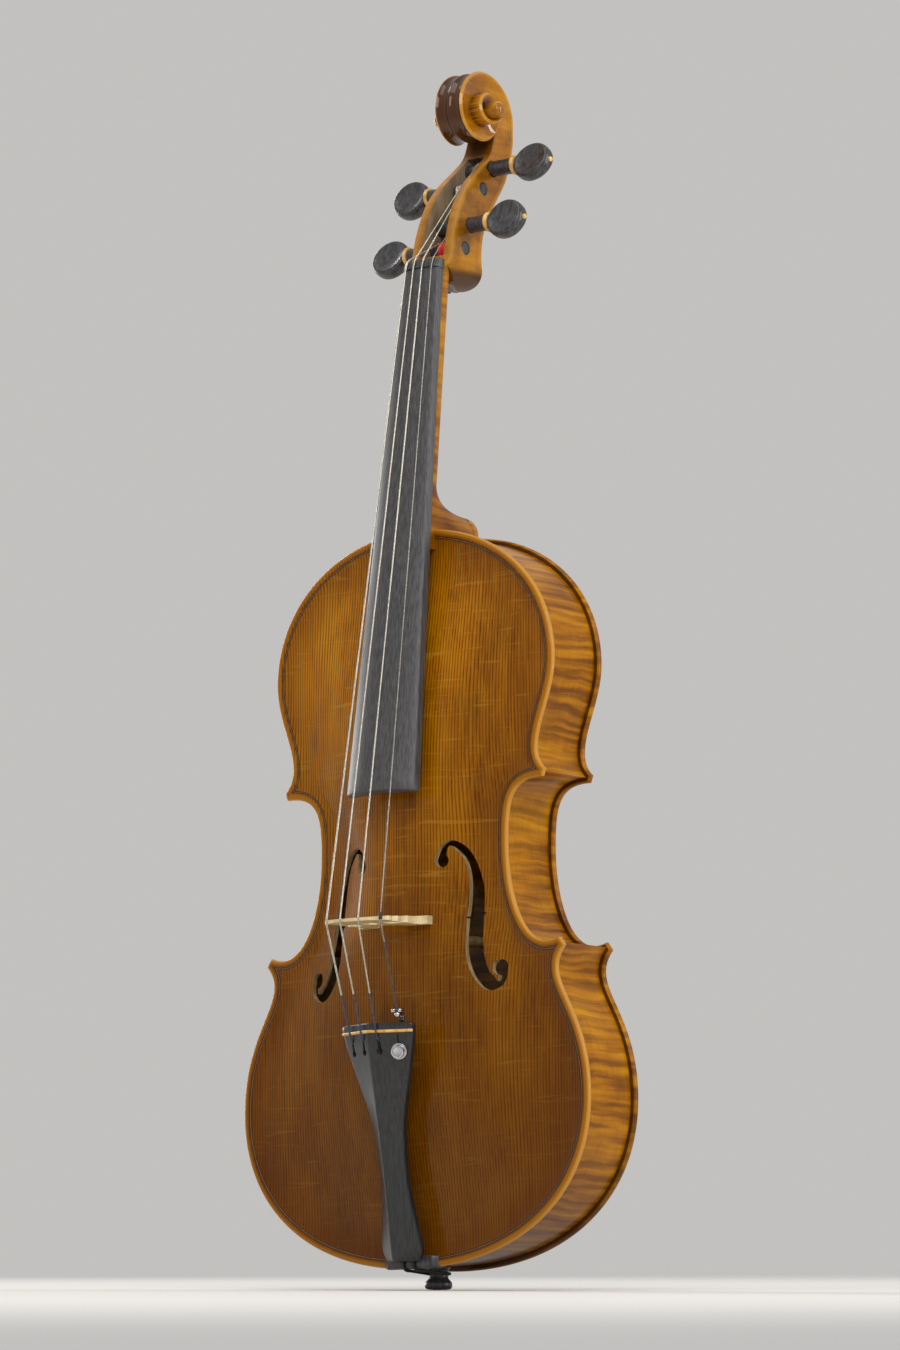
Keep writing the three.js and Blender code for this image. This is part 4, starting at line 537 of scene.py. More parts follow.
# Varnish laid over timber: the timber's own pattern shows through a clear, glossy, tinted coat
def varnished(name, pattern, roughness=0.42, gloss=0.09, bump=0.35, grain=0.00006, film=0.26):
    material = bpy.data.materials.new(name)
    material.use_nodes = True
    tree = material.node_tree
    tree.nodes.clear()
    place = addNode(tree, "ShaderNodeAttribute", attribute_name="timber").outputs["Vector"]
    colour, height = pattern(tree, place)
    ripple = addNode(tree, "ShaderNodeTexNoise", {"Vector": place, "Scale": 55, "Detail": 2})  # 18 mm wander of a brushed coat
    soft = addNode(tree, "ShaderNodeBump", {"Height": height, "Strength": bump, "Distance": grain})
    coat = addNode(tree, "ShaderNodeBump", {"Height": ripple.outputs["Fac"], "Strength": 0.25, "Distance": 0.0005})
    shader = addNode(tree, "ShaderNodeBsdfPrincipled", {
        "Base Color": colour, "Roughness": roughness, "IOR": 1.5, "Specular IOR Level": 0.17, "Specular Tint": linearColour("#D8942C"), "Coat Weight": film, "Coat Roughness": gloss,
        "Coat IOR": 1.5, "Normal": soft.outputs[0], "Coat Normal": coat.outputs[0],
    })
    addNode(tree, "ShaderNodeOutputMaterial", {"Surface": shader.outputs[0]})
    return material


def mixColour(tree, share, first, second, blend="MIX"):
    first = linearColour(first) if isinstance(first, str) else first
    second = linearColour(second) if isinstance(second, str) else second
    node = addNode(tree, "ShaderNodeMix", {0: share, 6: first, 7: second}, data_type="RGBA", blend_type=blend)
    return node.outputs[2]


def stretched(tree, place, scale, turn=(0, 0, 0)):
    return addNode(tree, "ShaderNodeMapping", {"Vector": place, "Scale": scale, "Rotation": turn}).outputs[0]


spruce = {
    "lines": 1.9,  # grain lines a millimetre apart are finer than a pixel, so they are drawn this far apart, in mm
    "gold": "#B86E00", "amber": "#985400", "brown": "#602F01", "dark": "#260F00", "pale": "#C48C0A", "low": "#3E1B00",
}


# Straight-grained spruce: fine dark winter lines, slow drift of tone, and faint pale rays that cross the grain
def sprucePattern(tree, place):
    wander = addNode(tree, "ShaderNodeTexNoise", {"Vector": stretched(tree, place, (22, 22, 2.2)), "Scale": 1, "Detail": 2})
    bent = addNode(tree, "ShaderNodeVectorMath", {0: wander.outputs["Color"], 1: (0.009, 0, 0)}, operation="MULTIPLY")
    moved = addNode(tree, "ShaderNodeVectorMath", {0: place, 1: bent.outputs[0]}, operation="ADD")
    rings = addNode(tree, "ShaderNodeTexWave", {
        "Vector": stretched(tree, moved.outputs[0], (1, 0.15, 0.004)), "Scale": 100 * math.pi / spruce["lines"],
        "Distortion": 2.2, "Detail": 2, "Detail Scale": 0.25,
    }, wave_type="BANDS", bands_direction="X", wave_profile="SAW")
    lines = addNode(tree, "ShaderNodeValToRGB", {0: rings.outputs["Fac"]}, [(0, 0.0), (0.45, 0.2), (0.84, 0.95), (1, 0.3)])
    tone = addNode(tree, "ShaderNodeTexNoise", {"Vector": stretched(tree, place, (26, 26, 9)), "Scale": 1, "Detail": 6, "Roughness": 0.65})
    toneRamp = addNode(tree, "ShaderNodeValToRGB", {0: tone.outputs["Fac"]}, [
        (0.28, spruce["brown"]), (0.45, spruce["amber"]), (0.6, spruce["gold"]), (0.8, spruce["pale"]),
    ])
    fine = addNode(tree, "ShaderNodeTexNoise", {"Vector": stretched(tree, place, (900, 900, 24)), "Scale": 1, "Detail": 3})
    fineRamp = addNode(tree, "ShaderNodeValToRGB", {0: fine.outputs["Fac"]}, [(0.35, 0.0), (0.7, 1.0)])
    lineShare = addNode(tree, "ShaderNodeMath", {0: lines.outputs[0], 1: 0.92}, operation="MULTIPLY").outputs[0]
    wood = mixColour(tree, lineShare, toneRamp.outputs[0], spruce["dark"])
    fineShare = addNode(tree, "ShaderNodeMath", {0: fineRamp.outputs[0], 1: 0.26}, operation="MULTIPLY").outputs[0]
    wood = mixColour(tree, fineShare, wood, spruce["pale"])
    rays = addNode(tree, "ShaderNodeTexNoise", {
        "Vector": stretched(tree, place, (26, 26, 420), (0, 0.3, 0)), "Scale": 1, "Detail": 2, "Distortion": 1.2,
    })
    rayRamp = addNode(tree, "ShaderNodeValToRGB", {0: rays.outputs["Fac"]}, [(0.6, 0.0), (0.72, 0.42)])
    wood = mixColour(tree, rayRamp.outputs[0], wood, "#B8862A")
    high = addNode(tree, "ShaderNodeSeparateXYZ", {0: place}).outputs["Z"]
    lowShare = addNode(tree, "ShaderNodeMapRange", {"Value": high, "From Min": 0.08, "From Max": 0.33, "To Min": 0.72, "To Max": 0}).outputs[0]
    wood = mixColour(tree, lowShare, wood, spruce["low"])  # browner and darker towards the lower end
    inset = addNode(tree, "ShaderNodeAttribute", attribute_name="inset").outputs["Fac"]
    cloud = addNode(tree, "ShaderNodeTexNoise", {"Vector": place, "Scale": 26, "Detail": 3}).outputs["Fac"]
    far = addNode(tree, "ShaderNodeMath", {0: cloud, 1: 26, 2: inset}, operation="MULTIPLY_ADD").outputs[0]
    edgeShare = addNode(tree, "ShaderNodeMapRange", {"Value": far, "From Min": 16, "From Max": 40, "To Min": 0.42, "To Max": 0}).outputs[0]
    wood = mixColour(tree, edgeShare, wood, "#4E2004")
    crest = addNode(tree, "ShaderNodeMapRange", {"Value": inset, "From Min": 1.8, "From Max": 3.8, "To Min": 0.75, "To Max": 0}).outputs[0]
    wood = mixColour(tree, crest, wood, "#A8690A")
    # painted highlight along the edge's outer rounding, drawn as varnish rubbed pale
    rubbedEdgeHighlight = addNode(tree, "ShaderNodeMapRange", {"Value": inset, "From Min": 0.3, "From Max": 1.1, "To Min": 0.4, "To Max": 0}).outputs[0]
    wood = mixColour(tree, rubbedEdgeHighlight, wood, "#DCA850")
    return wood, lines.outputs[0]


maple = {
    "flame": 4.4,  # width of one light and dark band of flame, in mm
    "gold": "#AA6A00", "straw": "#D29600", "brown": "#643600", "dark": "#301400",
}


# Flamed maple: bands across the grain that shift in width, under golden varnish worn darker in places
def maplePattern(tree, place, lean=0.1, depth=0.42, redness=0.45, patch=11, jointShade=0.0):
    wander = addNode(tree, "ShaderNodeTexNoise", {"Vector": stretched(tree, place, (40, 40, 26)), "Scale": 1, "Detail": 2})
    bent = addNode(tree, "ShaderNodeVectorMath", {0: wander.outputs["Color"], 1: (0, 0, 0.006)}, operation="MULTIPLY")
    moved = addNode(tree, "ShaderNodeVectorMath", {0: place, 1: bent.outputs[0]}, operation="ADD")
    flame = addNode(tree, "ShaderNodeTexNoise", {
        "Vector": stretched(tree, moved.outputs[0], (14, 14, 1000 / maple["flame"]), (0, lean, 0)), "Scale": 1, "Detail": 3,
    })
    bands = addNode(tree, "ShaderNodeValToRGB", {0: flame.outputs["Fac"]}, [
        (0.25, maple["dark"]), (0.42, maple["brown"]), (0.56, maple["gold"]), (0.74, maple["straw"]),
    ])
    tone = addNode(tree, "ShaderNodeTexNoise", {"Vector": place, "Scale": 17, "Detail": 4})
    flat = addNode(tree, "ShaderNodeValToRGB", {0: tone.outputs["Fac"]}, [
        (0.3, maple["brown"]), (0.52, maple["gold"]), (0.72, maple["straw"]),
    ])
    wood = mixColour(tree, depth, flat.outputs[0], bands.outputs[0])
    pores = addNode(tree, "ShaderNodeTexNoise", {"Vector": stretched(tree, place, (1500, 1500, 70)), "Scale": 1, "Detail": 2})
    poreRamp = addNode(tree, "ShaderNodeValToRGB", {0: pores.outputs["Fac"]}, [(0.4, 0.16), (0.62, 0.0)])
    wood = mixColour(tree, poreRamp.outputs[0], wood, maple["dark"])
    worn = addNode(tree, "ShaderNodeTexNoise", {"Vector": place, "Scale": patch, "Detail": 5, "Roughness": 0.6})
    wornRamp = addNode(tree, "ShaderNodeValToRGB", {0: worn.outputs["Fac"]}, [(0.5, 0.0), (0.7, redness)])
    wood = mixColour(tree, wornRamp.outputs[0], wood, "#4A1C05")
    if jointShade:
        where = addNode(tree, "ShaderNodeSeparateXYZ", {0: place})
        side = addNode(tree, "ShaderNodeMath", {0: where.outputs["Y"]}, operation="ABSOLUTE").outputs[0]
        near = addNode(tree, "ShaderNodeMapRange", {"Value": side, "From Min": 0.0158, "From Max": 0.019, "To Max": jointShade}).outputs[0]
        rib = addNode(tree, "ShaderNodeMath", {0: side, 1: 0.0191}, operation="LESS_THAN").outputs[0]
        seamShade = addNode(tree, "ShaderNodeMath", {0: near, 1: rib}, operation="MULTIPLY").outputs[0]
        wood = mixColour(tree, seamShade, wood, "#2C1204")  # painted shade under the plates' overhang, with varnish gathered along the joint
        lowShare = addNode(tree, "ShaderNodeMapRange", {
            "Value": where.outputs["Z"], "From Min": 0.03, "From Max": 0.15, "To Min": 0.72, "To Max": 0,
        }).outputs[0]
        wood = mixColour(tree, lowShare, wood, "#3A1E0C")  # painted shade: darker towards the lower end
    # stained darker in the flutes and chin, darker on the throat, and painted shade in the volute's recesses
    stainAndShade = addNode(tree, "ShaderNodeAttribute", attribute_name="stainAndShade").outputs["Fac"]
    wood = mixColour(tree, stainAndShade, wood, "#2E1008")
    wearAndHighlight = addNode(tree, "ShaderNodeMath", {0: stainAndShade, 1: -1}, operation="MULTIPLY", use_clamp=True).outputs[0]
    wood = mixColour(tree, wearAndHighlight, wood, "#D89C3C")  # painted highlight on the edges and chamfers, where the varnish is also rubbed thin
    return wood, pores.outputs["Fac"]


# A plain surface with a streaked or mottled tone and its own bump
def plainMaterial(name, low, high, roughness, scale, bump=0.2, distance=0.00005, metallic=0.0, stops=(0.35, 0.65), **extra):
    material = bpy.data.materials.new(name)
    material.use_nodes = True
    tree = material.node_tree
    tree.nodes.clear()
    place = addNode(tree, "ShaderNodeTexCoord").outputs["Object"]
    streak = addNode(tree, "ShaderNodeTexNoise", {"Vector": stretched(tree, place, scale), "Scale": 1, "Detail": 3})
    ramp = addNode(tree, "ShaderNodeValToRGB", {0: streak.outputs["Fac"]}, [(stops[0], low), (stops[1], high)])
    relief = addNode(tree, "ShaderNodeBump", {"Height": streak.outputs["Fac"], "Strength": bump, "Distance": distance})
    values = {"Base Color": ramp.outputs[0], "Roughness": roughness, "Metallic": metallic, "Normal": relief.outputs[0]}
    values.update(extra)
    shader = addNode(tree, "ShaderNodeBsdfPrincipled", values)
    addNode(tree, "ShaderNodeOutputMaterial", {"Surface": shader.outputs[0]})
    return material


varnishedSpruce = varnished("varnished_spruce", sprucePattern, gloss=0.1, bump=0.3)
varnishedMaple = varnished("varnished_flamed_maple", lambda t, p: maplePattern(t, p, 0.1, 0.62, 0.7, 13, 0.8), roughness=0.4, gloss=0.08, bump=0.12)
headMaple = varnished("varnished_carved_maple", lambda t, p: maplePattern(t, p, 0.2, 0.3, 0.75, 34), gloss=0.06, bump=0.12, film=0.75)
ebony = plainMaterial("polished_ebony", "#262527", "#474547", 0.33, (700, 700, 40))  # near black, satin, faint streaks
boardEbony = plainMaterial("satin_planed_ebony", "#363536", "#525051", 0.46, (1200, 1200, 22), bump=0.3)  # fine lengthwise streaks
boxwood = plainMaterial("turned_boxwood", "#C88F3A", "#E9C277", 0.38, (260, 260, 260))  # dense, yellow, soft gloss
bridgeMaple = plainMaterial("scraped_maple", "#9A7C50", "#C8B080", 0.55, (90, 420, 420), stops=(0.3, 0.52))  # pale, with short brown flecks
bridgeCut = plainMaterial("cut_maple_edge", "#C6B082", "#DECA9E", 0.55, (200, 200, 200))  # paler where the knife went through
bareSpruce = plainMaterial("bare_spruce", "#C9A468", "#E2C690", 0.8, (500, 500, 20))
bareWillow = plainMaterial("bare_willow", "#B8935C", "#D2AE78", 0.85, (160, 160, 30))
nickel = plainMaterial("nickelled_steel", "#B4B4B6", "#D0D0D2", 0.2, (400, 400, 400), metallic=1.0, distance=0.00001)
cordBlack = plainMaterial("black_tail_cord", "#0C0C0C", "#1A1A1A", 0.55, (900, 900, 900))
blackPurfling = plainMaterial("dyed_pear_purfling", "#0C0603", "#1A0C05", 0.45, (300, 300, 300))
palePurfling = plainMaterial("poplar_purfling", "#7E5010", "#9A6A20", 0.45, (300, 300, 300))
print("materials ready")


# Plates with their sound holes and purfling

soundHole = {"inner": 24.6, "width": 44.6, "foot": 149.3, "height": 84, "upperEye": 3.8, "lowerEye": 4.5, "notch": 1.5}
hookShares = [
    [0.005, 0.86], [0.02, 0.91], [0.075, 0.965], [0.175, 1], [0.3, 0.985], [0.42, 0.93], [0.52, 0.83],
    [0.6, 0.69], [0.625, 0.55], [0.64, 0.42], [0.68, 0.25], [0.755, 0.135], [0.84, 0.085], [0.875, 0.06],
    [0.905, 0.115], [0.99, 0.14], [0.995, 0.08], [0.93, 0.025], [0.8, 0], [0.67, 0.025],
    [0.55, 0.1], [0.47, 0.2], [0.435, 0.32], [0.43, 0.45], [0.435, 0.6], [0.415, 0.76], [0.355, 0.87],
    [0.26, 0.935], [0.185, 0.965], [0.15, 0.93], [0.13, 0.885],
]


def prism(name, flat, fromY, toY, material):
    rings = [np.insert(np.asarray(flat, float), 1, y, axis=1) for y in (fromY, toY)]
    points, faces = loft(rings)
    obj = makeMesh(name, points, faces, material, None)
    return obj


def soundHoleCutter(hand):
    place = lambda across, up: (
        hand * (soundHole["inner"] + soundHole["width"] * across), body["bottom"] + soundHole["foot"] + soundHole["height"] * up)
    nearY, farY = -body["glue"] + 4, -edgeY - body["frontArch"] - 4
    stem = smoothRow([place(*share) for share in hookShares], 8, closed=True)
    flats = [stem]
    for radius, across, up in (
        (soundHole["upperEye"], soundHole["upperEye"] / soundHole["width"], 0.868),
        (soundHole["lowerEye"], 1 - soundHole["lowerEye"] / soundHole["width"], 0.15),
    ):
        x, z = place(across, up)
        angles = np.linspace(0, 2 * math.pi, 48, endpoint=False)
        flats.append(np.stack([x + radius * np.cos(angles), z + radius * np.sin(angles)], 1))
    size = soundHole["notch"]
    for across, up in ((0.425, 0.488), (0.632, 0.512)):
        x, z = place(across, up)
        flats.append(np.array([(x - size, z), (x, z - size / 2), (x + size, z), (x, z + size / 2)]))
    whole, *others = [prism("sound_hole_cutter", flat, nearY, farY, cutSpruce) for flat in flats]
    for other in others:
        applyModifier(whole, "BOOLEAN", object=other, operation="UNION", solver="EXACT")
        bpy.data.objects.remove(other)
    return whole


cutSpruce = plainMaterial("worn_cut_edge", "#806A4A", "#AC9670", 0.5, (600, 600, 60))  # the hole's cut wall, paler than the face


def makePlates():
    points, faces = plateMesh(-1, body["frontArch"])
    top = makeMesh("top_plate_arched", points, faces, [varnishedSpruce], "instrument", ["top_plate"])
    for hand in (treble, bass):
        cutAway(top, soundHoleCutter(hand), sharp=38)
    markPlate(top)

    points, faces = plateMesh(1, body["backArch"])
    back = makeMesh("back_plate_arched", points, faces, [varnishedMaple], "instrument", ["back_plate"])
    markPlate(back)
    print("plates ready")


button = {"radius": 11.5, "rise": 12.5, "edge": 0.9}


def makeButton():
    centre = bodyTop + button["rise"] - button["radius"]
    rings = []
    for inset, y in ((0.5, body["glue"]), (0, body["glue"] + 0.6), (0, edgeY - 1.3), (0.3, edgeY - 0.45), (1.1, edgeY)):
        angles = np.linspace(0, math.pi, 33)
        radius = button["radius"] - inset
        row = [(radius, bodyTop - body["overhang"]), *zip(radius * np.cos(angles), centre + radius * np.sin(angles)),
               (-radius, bodyTop - body["overhang"])]
        rings.append([(x, y, z) for x, z in row])
    points, faces = loft(rings)
    makeMesh("back_button", points, faces, [headMaple], "instrument", wood=points)


# Three thin strips side by side in the groove, black, pale and black
def makePurfling():
    depth = 0.9
    for side, nodes in ((-1, ["top_purfling_treble", "top_purfling_bass"]), (1, ["back_purfling"])):
        parts = []
        cuts = np.array([0.01, 0.54, 0.81, 1.34])
        for start, end in zip(cuts[:-1], cuts[1:]):
            rings = []
            for inset, lift in ((start, -depth), (start, 0.01), (end, 0.01), (end, -depth)):
                height = purfling["height"] - purfling["fall"] * inset / purfling["width"] + lift
                flat = loopAt(round(purfling["inset"] + inset, 3))
                rings.append(np.insert(flat, 1, side * (body["glue"] + height), axis=1))
            faces = bandFaces(4, loopCount)
            faces += [(3 * loopCount + j, 3 * loopCount + (j + 1) % loopCount, (j + 1) % loopCount, j) for j in range(loopCount)]
            parts.append((np.vstack(rings), faces))
        points, faces, indices = together(*parts)
        indices = [1 if i == 1 else 0 for i in indices]
        name = "front_purfling_strips" if side < 0 else "back_purfling_strips"
        makeMesh(name, points, faces, [blackPurfling, palePurfling], "instrument", nodes, indices=indices)
    print("purfling ready")


def makeRibs():
    for hand in (treble, bass):
        for bout in ("lower", "waist", "upper"):
            count = body["counts"][bout]
            outer = resample(curvesAt(body["overhang"])[bout], count) * (hand, 1) + (0, body["bottom"])
            inner = resample(curvesAt(body["overhang"] + body["ribThickness"])[bout], count) * (hand, 1) + (0, body["bottom"])
            glue = body["glue"]
            rings = [[(ox, -glue, oz), (ox, glue, oz), (ix, glue, iz), (ix, -glue, iz)]
                     for (ox, oz), (ix, iz) in zip(outer, inner)]
            points, faces = loft(rings)
            along = np.repeat(lengthsAlong(outer), 4) + {"lower": 0, "waist": 400, "upper": 800}[bout] + 1500 * (hand < 0)
            wood = np.stack([points[:, 1], np.zeros(len(points)), along], 1)
            name = f"{bout}_rib_{handNames[hand]}"
            makeMesh(f"{bout}_bent_rib_{handNames[hand]}", points, faces, varnishedMaple, "instrument", [name], wood=wood)
    print("ribs ready")


makePlates()
makeButton()
makePurfling()
makeRibs()


# Neck and fingerboard, in a frame that leans back from the strings: depth back from the board's face, reach down from the nut

board = {"length": 302, "nutHalf": 12.4, "endHalf": 24.2, "radius": 41, "flank": 5, "hollow": 3.5, "tilt": math.radians(8), "setback": 7.2}
nut = {"length": 5.5, "rise": 0.9, "lean": 1.26}
neck = {
    "atNut": 19.5, "atHeel": 21.6, "heelStart": 122, "heelPull": 13, "rootHalf": 16.8, "tenon": 9, "fullness": 2.2,
    "rootFullness": 1.35, "heelShare": 0.7,
}
nutY = board["setback"] - edgeY
nutZ = bodyTop + 150
ribTop = bodyTop - body["overhang"]
gap = 0.3


def onBoard(depth, reach):
    c, s = math.cos(board["tilt"]), math.sin(board["tilt"])
    return np.array([nutY + depth * c - reach * s, nutZ - depth * s - reach * c])


def boardHalf(reach):
    return board["nutHalf"] + (board["endHalf"] - board["nutHalf"]) * max(reach, 0) / board["length"]


def boardRise(x):
    return board["radius"] - math.sqrt(board["radius"] ** 2 - x ** 2)


def boardUnder(reach):
    return boardRise(boardHalf(reach)) + board["flank"]


def at3(x, yz):
    return (x, yz[0], yz[1])


def makeBoard():
    rings, wood = [], []
    soften = 0.5
    for reach, shrink in [(0, 0.35), (0.3, 0.05), (0.6, 0), *[(r, 0) for r in np.linspace(4, 298, 40)], (301.2, 0), (301.75, 0.18), (302, 0.5)]:
        half = boardHalf(reach) - shrink
        hollow = board["hollow"] * min(max((reach - 145) / 8, 0), 1)
        row = []
        for x in np.linspace(half - soften, -half + soften, 25):
            row.append((x, boardRise(x) + shrink))
        low = boardUnder(reach)
        row += [(-half + 0.12, boardRise(half) + 0.16 + shrink), (-half, boardRise(half) + soften + shrink), (-half, low - soften), (-half + soften, low - shrink)]
        lip = half - 2.6
        row += [(-lip, low - shrink)] + [(x, low - hollow * math.cos(x / lip * math.pi / 2) ** 0.5 - shrink) for x in np.linspace(-lip + 0.4, lip - 0.4, 13)] + [(lip, low - shrink)]
        row += [(half - soften, low - shrink), (half, low - soften), (half, boardRise(half) + soften + shrink), (half - 0.12, boardRise(half) + 0.16 + shrink)]
        rings.append([at3(x, onBoard(depth, reach)) for x, depth in row])
    points, faces = loft(rings)
    makeMesh("fingerboard_planed", points, faces, boardEbony, "instrument", ["fingerboard"], sharp=40)


def nutDepth(x, reach):
    return boardRise(x) - nut["rise"] + (nut["lean"] * -reach / nut["length"] if reach < 0 else 0)


def makeNut():
    rings = []
    half = board["nutHalf"]
    slots = [place * 6.05 for place in (-1.5, -0.5, 0.5, 1.5)]
    for reach, shrink in ((-0.02, 0.25), (-0.25, 0.05), (-0.6, 0), (-2, 0), (-3.5, 0), (-4.9, 0.05), (-5.3, 0.3), (-5.5, 0.8)):
        row = []
        for x in np.linspace(half - 0.3, -half + 0.3, 121):
            slot = max(0, 0.55 - min((abs(x - s) / 0.75) ** 2 * 0.55 for s in slots))
            edge = max(0, abs(x) - half + 1.2) ** 2 * 0.4
            row.append((x, nutDepth(x, reach) + slot + edge + shrink))
        low = boardUnder(0)
        row += [(-half, nutDepth(half, reach) + 1), (-half, low), (half, low), (half, nutDepth(half, reach) + 1)]
        rings.append([at3(x, onBoard(depth, reach)) for x, depth in row])
    points, faces = loft(rings)
    makeMesh("nut_filed", points, faces, ebony, "instrument", ["nut"], sharp=40)


# A section across the neck, flat in front and rounded behind
def neckRing(front, back, frontHalf, backHalf, fullness, fine=20):
    turns = np.linspace(0, math.pi / 2, fine + 1)
    down = np.sin(turns) ** (2 / fullness)
    out = backHalf + (frontHalf - backHalf) * np.abs(np.cos(turns)) ** (2 / fullness)
    right = [at3(x, front + (back - front) * d) for x, d in zip(out, down)]
    return right + [(-x, y, z) for x, y, z in right[::-1]]


def buttonHalf(z):
    centre = bodyTop + button["rise"] - button["radius"]
    return math.sqrt(max(button["radius"] ** 2 - max(z - centre, 0) ** 2, 0))


def makeNeckRings():
    heelBack = body["glue"] - gap
    tipZ = bodyTop + button["rise"] - 1.2
    pull = neck["heelPull"]
    curve = bezier(onBoard(neck["atHeel"], neck["heelStart"]), onBoard(neck["atHeel"], neck["heelStart"] + pull),
                   (heelBack - pull, tipZ + pull / 6), (heelBack, tipZ), 30)
    rootReach = (bodyTop - ribTop + 150) / math.cos(board["tilt"])
    nutHalf = board["nutHalf"] - gap
    neckHalf = lambda reach: nutHalf + (neck["rootHalf"] - nutHalf) * reach / rootReach
    face = lambda reach: onBoard(boardUnder(reach) + 0.02, reach)
    rings = []
    for reach in [-nut["length"], -3, 0, *np.linspace(8, 112, 12)]:
        depth = neck["atNut"] + (neck["atHeel"] - neck["atNut"]) * reach / neck["heelStart"]
        rings.append(neckRing(face(reach), onBoard(depth, reach), neckHalf(reach), 0, neck["fullness"]))
    high = face(neck["heelStart"])[1]
    low = ribTop + (tipZ - ribTop) * neck["heelShare"]
    for share in np.linspace(0, 1, 31):
        reach = neck["heelStart"] + (rootReach - neck["heelStart"]) * share * neck["heelShare"]
        front = face(reach)
        front[1] = min(front[1], high + (low - high) * share + board["flank"])
        fullness = neck["fullness"] + (neck["rootFullness"] - neck["fullness"]) * share
        backHalf = (buttonHalf(tipZ) - gap) * share ** 2
        rings.append(neckRing(front, curve[int(round(share * 30))], neckHalf(reach), backHalf, fullness))
    for share in (0.66, 0.3, 0, -neck["tenon"] / (low - ribTop)):
        z = ribTop + (low - ribTop) * share
        backZ = ribTop + (tipZ - ribTop) * share * 0.93
        front = face((nutZ - z) / math.cos(board["tilt"]) - 1)
        front[1] = z
        rings.append(neckRing(front, np.array([heelBack, backZ]), neck["rootHalf"], max(buttonHalf(backZ) - gap, 0), neck["rootFullness"]))
    return rings


# Pegbox and scroll

head = {"eyeBack": 45.8, "eyeUp": 95.8, "half": 14, "chinTop": 573.2, "chinRise": 12.6, "stainAndShade": 0.88, "wearAndHighlight": 0.45}
scroll = {
    "radius": 29.5, "decay": 0.1236, "half": 9.2, "spread": 0.0765, "halfMost": 22.3, "eyeRadius": 4.3, "eyeHalf": 24,
    "flute": 1.9, "chamfer": 1.2, "hollow": 1.3, "turns": 2.625, "rim": 0.6, "face": 0.28, "fade": 1.2, "steps": 96,
    "throatTurn": 0.25, "throatShare": 0.97,
}
eyeY, eyeZ = nutY + head["eyeBack"], nutZ + head["eyeUp"]
fullTurn = 2 * math.pi
pegboxSections = [
    [(0.222, 0.03), (0.454, -0.073), 0.84], [(0.226, 0.047), (0.672, -0.098), 0.9], [(0.235, 0.066), (0.83, -0.076), 0.97],
    [(0.245, 0.09), (0.885, -0.01), 1], [(0.258, 0.115), (0.873, 0.125), 1], [(0.323, 0.24), (0.934, 0.271), 0.99],
    [(0.465, 0.412), (1.153, 0.438), 0.92], [(0.683, 0.553), (1.382, 0.579), 0.83], [(0.934, 0.661), (1.535, 0.71), 0.75],
    [(1.153, 0.772), (1.622, 0.846), 0.69],
]


def headPlace(shares):
    return np.array([nutY + head["eyeBack"] * shares[0], nutZ + head["eyeUp"] * shares[1]])


def spiralRadius(turn):
    return scroll["radius"] * math.exp(-scroll["decay"] * turn)


def spiralHalf(turn):
    return min(scroll["half"] + scroll["spread"] * max(turn, 0) ** 2, scroll["halfMost"])


def onSpiral(turn, radius):
    return np.array([eyeY + radius * math.cos(turn), eyeZ + radius * math.sin(turn)])


landShare = scroll["rim"] * spiralHalf(fullTurn) / spiralHalf(0)
faceShare = scroll["face"] * spiralHalf(fullTurn) / spiralHalf(0)
wallSteps = 9
flutePlaces = np.linspace(-1, 1, 33)
fluteDrops = np.interp(np.abs(flutePlaces), [0, 0.08, 0.2, 0.34, 0.5, 0.66, 0.8, 0.9, 0.97, 1], [0.12, 0.2, 0.62, 0.93, 1, 0.93, 0.7, 0.42, 0.12, 0])


flutes = slice(wallSteps + 1, wallSteps + len(flutePlaces) - 1)  # the places of a section where varnish has darkened
edgePlaces = [wallSteps - 1, wallSteps, flutes.stop, flutes.stop + 1]  # and those given a pale painted highlight, where the varnish is also rubbed thin


# One side of a section, from the foot of its wall out to its rim
def flank(front, back, half, landHalf, hollow, hand):
    along = (back - front) / np.linalg.norm(back - front)
    edge = back - along * scroll["chamfer"]
    rows = []
    for u in np.linspace(0, 1, wallSteps):
        x = landHalf * (1 - u) * (1 - 2 * u) + (half - hollow) * 4 * u * (1 - u) + half * u * (2 * u - 1)
        rows.append(at3(hand * x, front + (edge - front) * u))
    rows.append(at3(hand * (half - scroll["chamfer"]), back))
    return rows


# Across the back of the head: an edge, a flute, a low ridge, a flute, an edge
def headSection(front, back, half, landHalf, hollow, flute):
    along = (back - front) / np.linalg.norm(back - front)
    inner = half - scroll["chamfer"]
    rim = [at3(-inner * s, back - along * flute * drop) for s, drop in zip(flutePlaces, fluteDrops)][1:-1]
    face = [at3(way * half * faceShare, front) for way in (-1, 0, 1)]
    return flank(front, back, half, landHalf, hollow, treble) + rim + flank(front, back, half, landHalf, hollow, bass)[::-1] + face


def voluteSection(turn):
    half = spiralHalf(turn)
    fade = min(1, (fullTurn - turn) / scroll["fade"])
    return headSection(onSpiral(turn, spiralRadius(turn + fullTurn)), onSpiral(turn, spiralRadius(turn)), half, half * landShare,
                       scroll["hollow"], scroll["flute"] * fade)


def voluteFlank(turn, hand):
    half = spiralHalf(turn)
    back = onSpiral(turn, spiralRadius(turn))
    rows = flank(onSpiral(turn, spiralRadius(turn + fullTurn)), back, half, half * landShare, scroll["hollow"], hand)
    return rows + [at3(hand * spiralHalf(turn - fullTurn) * landShare, back)]


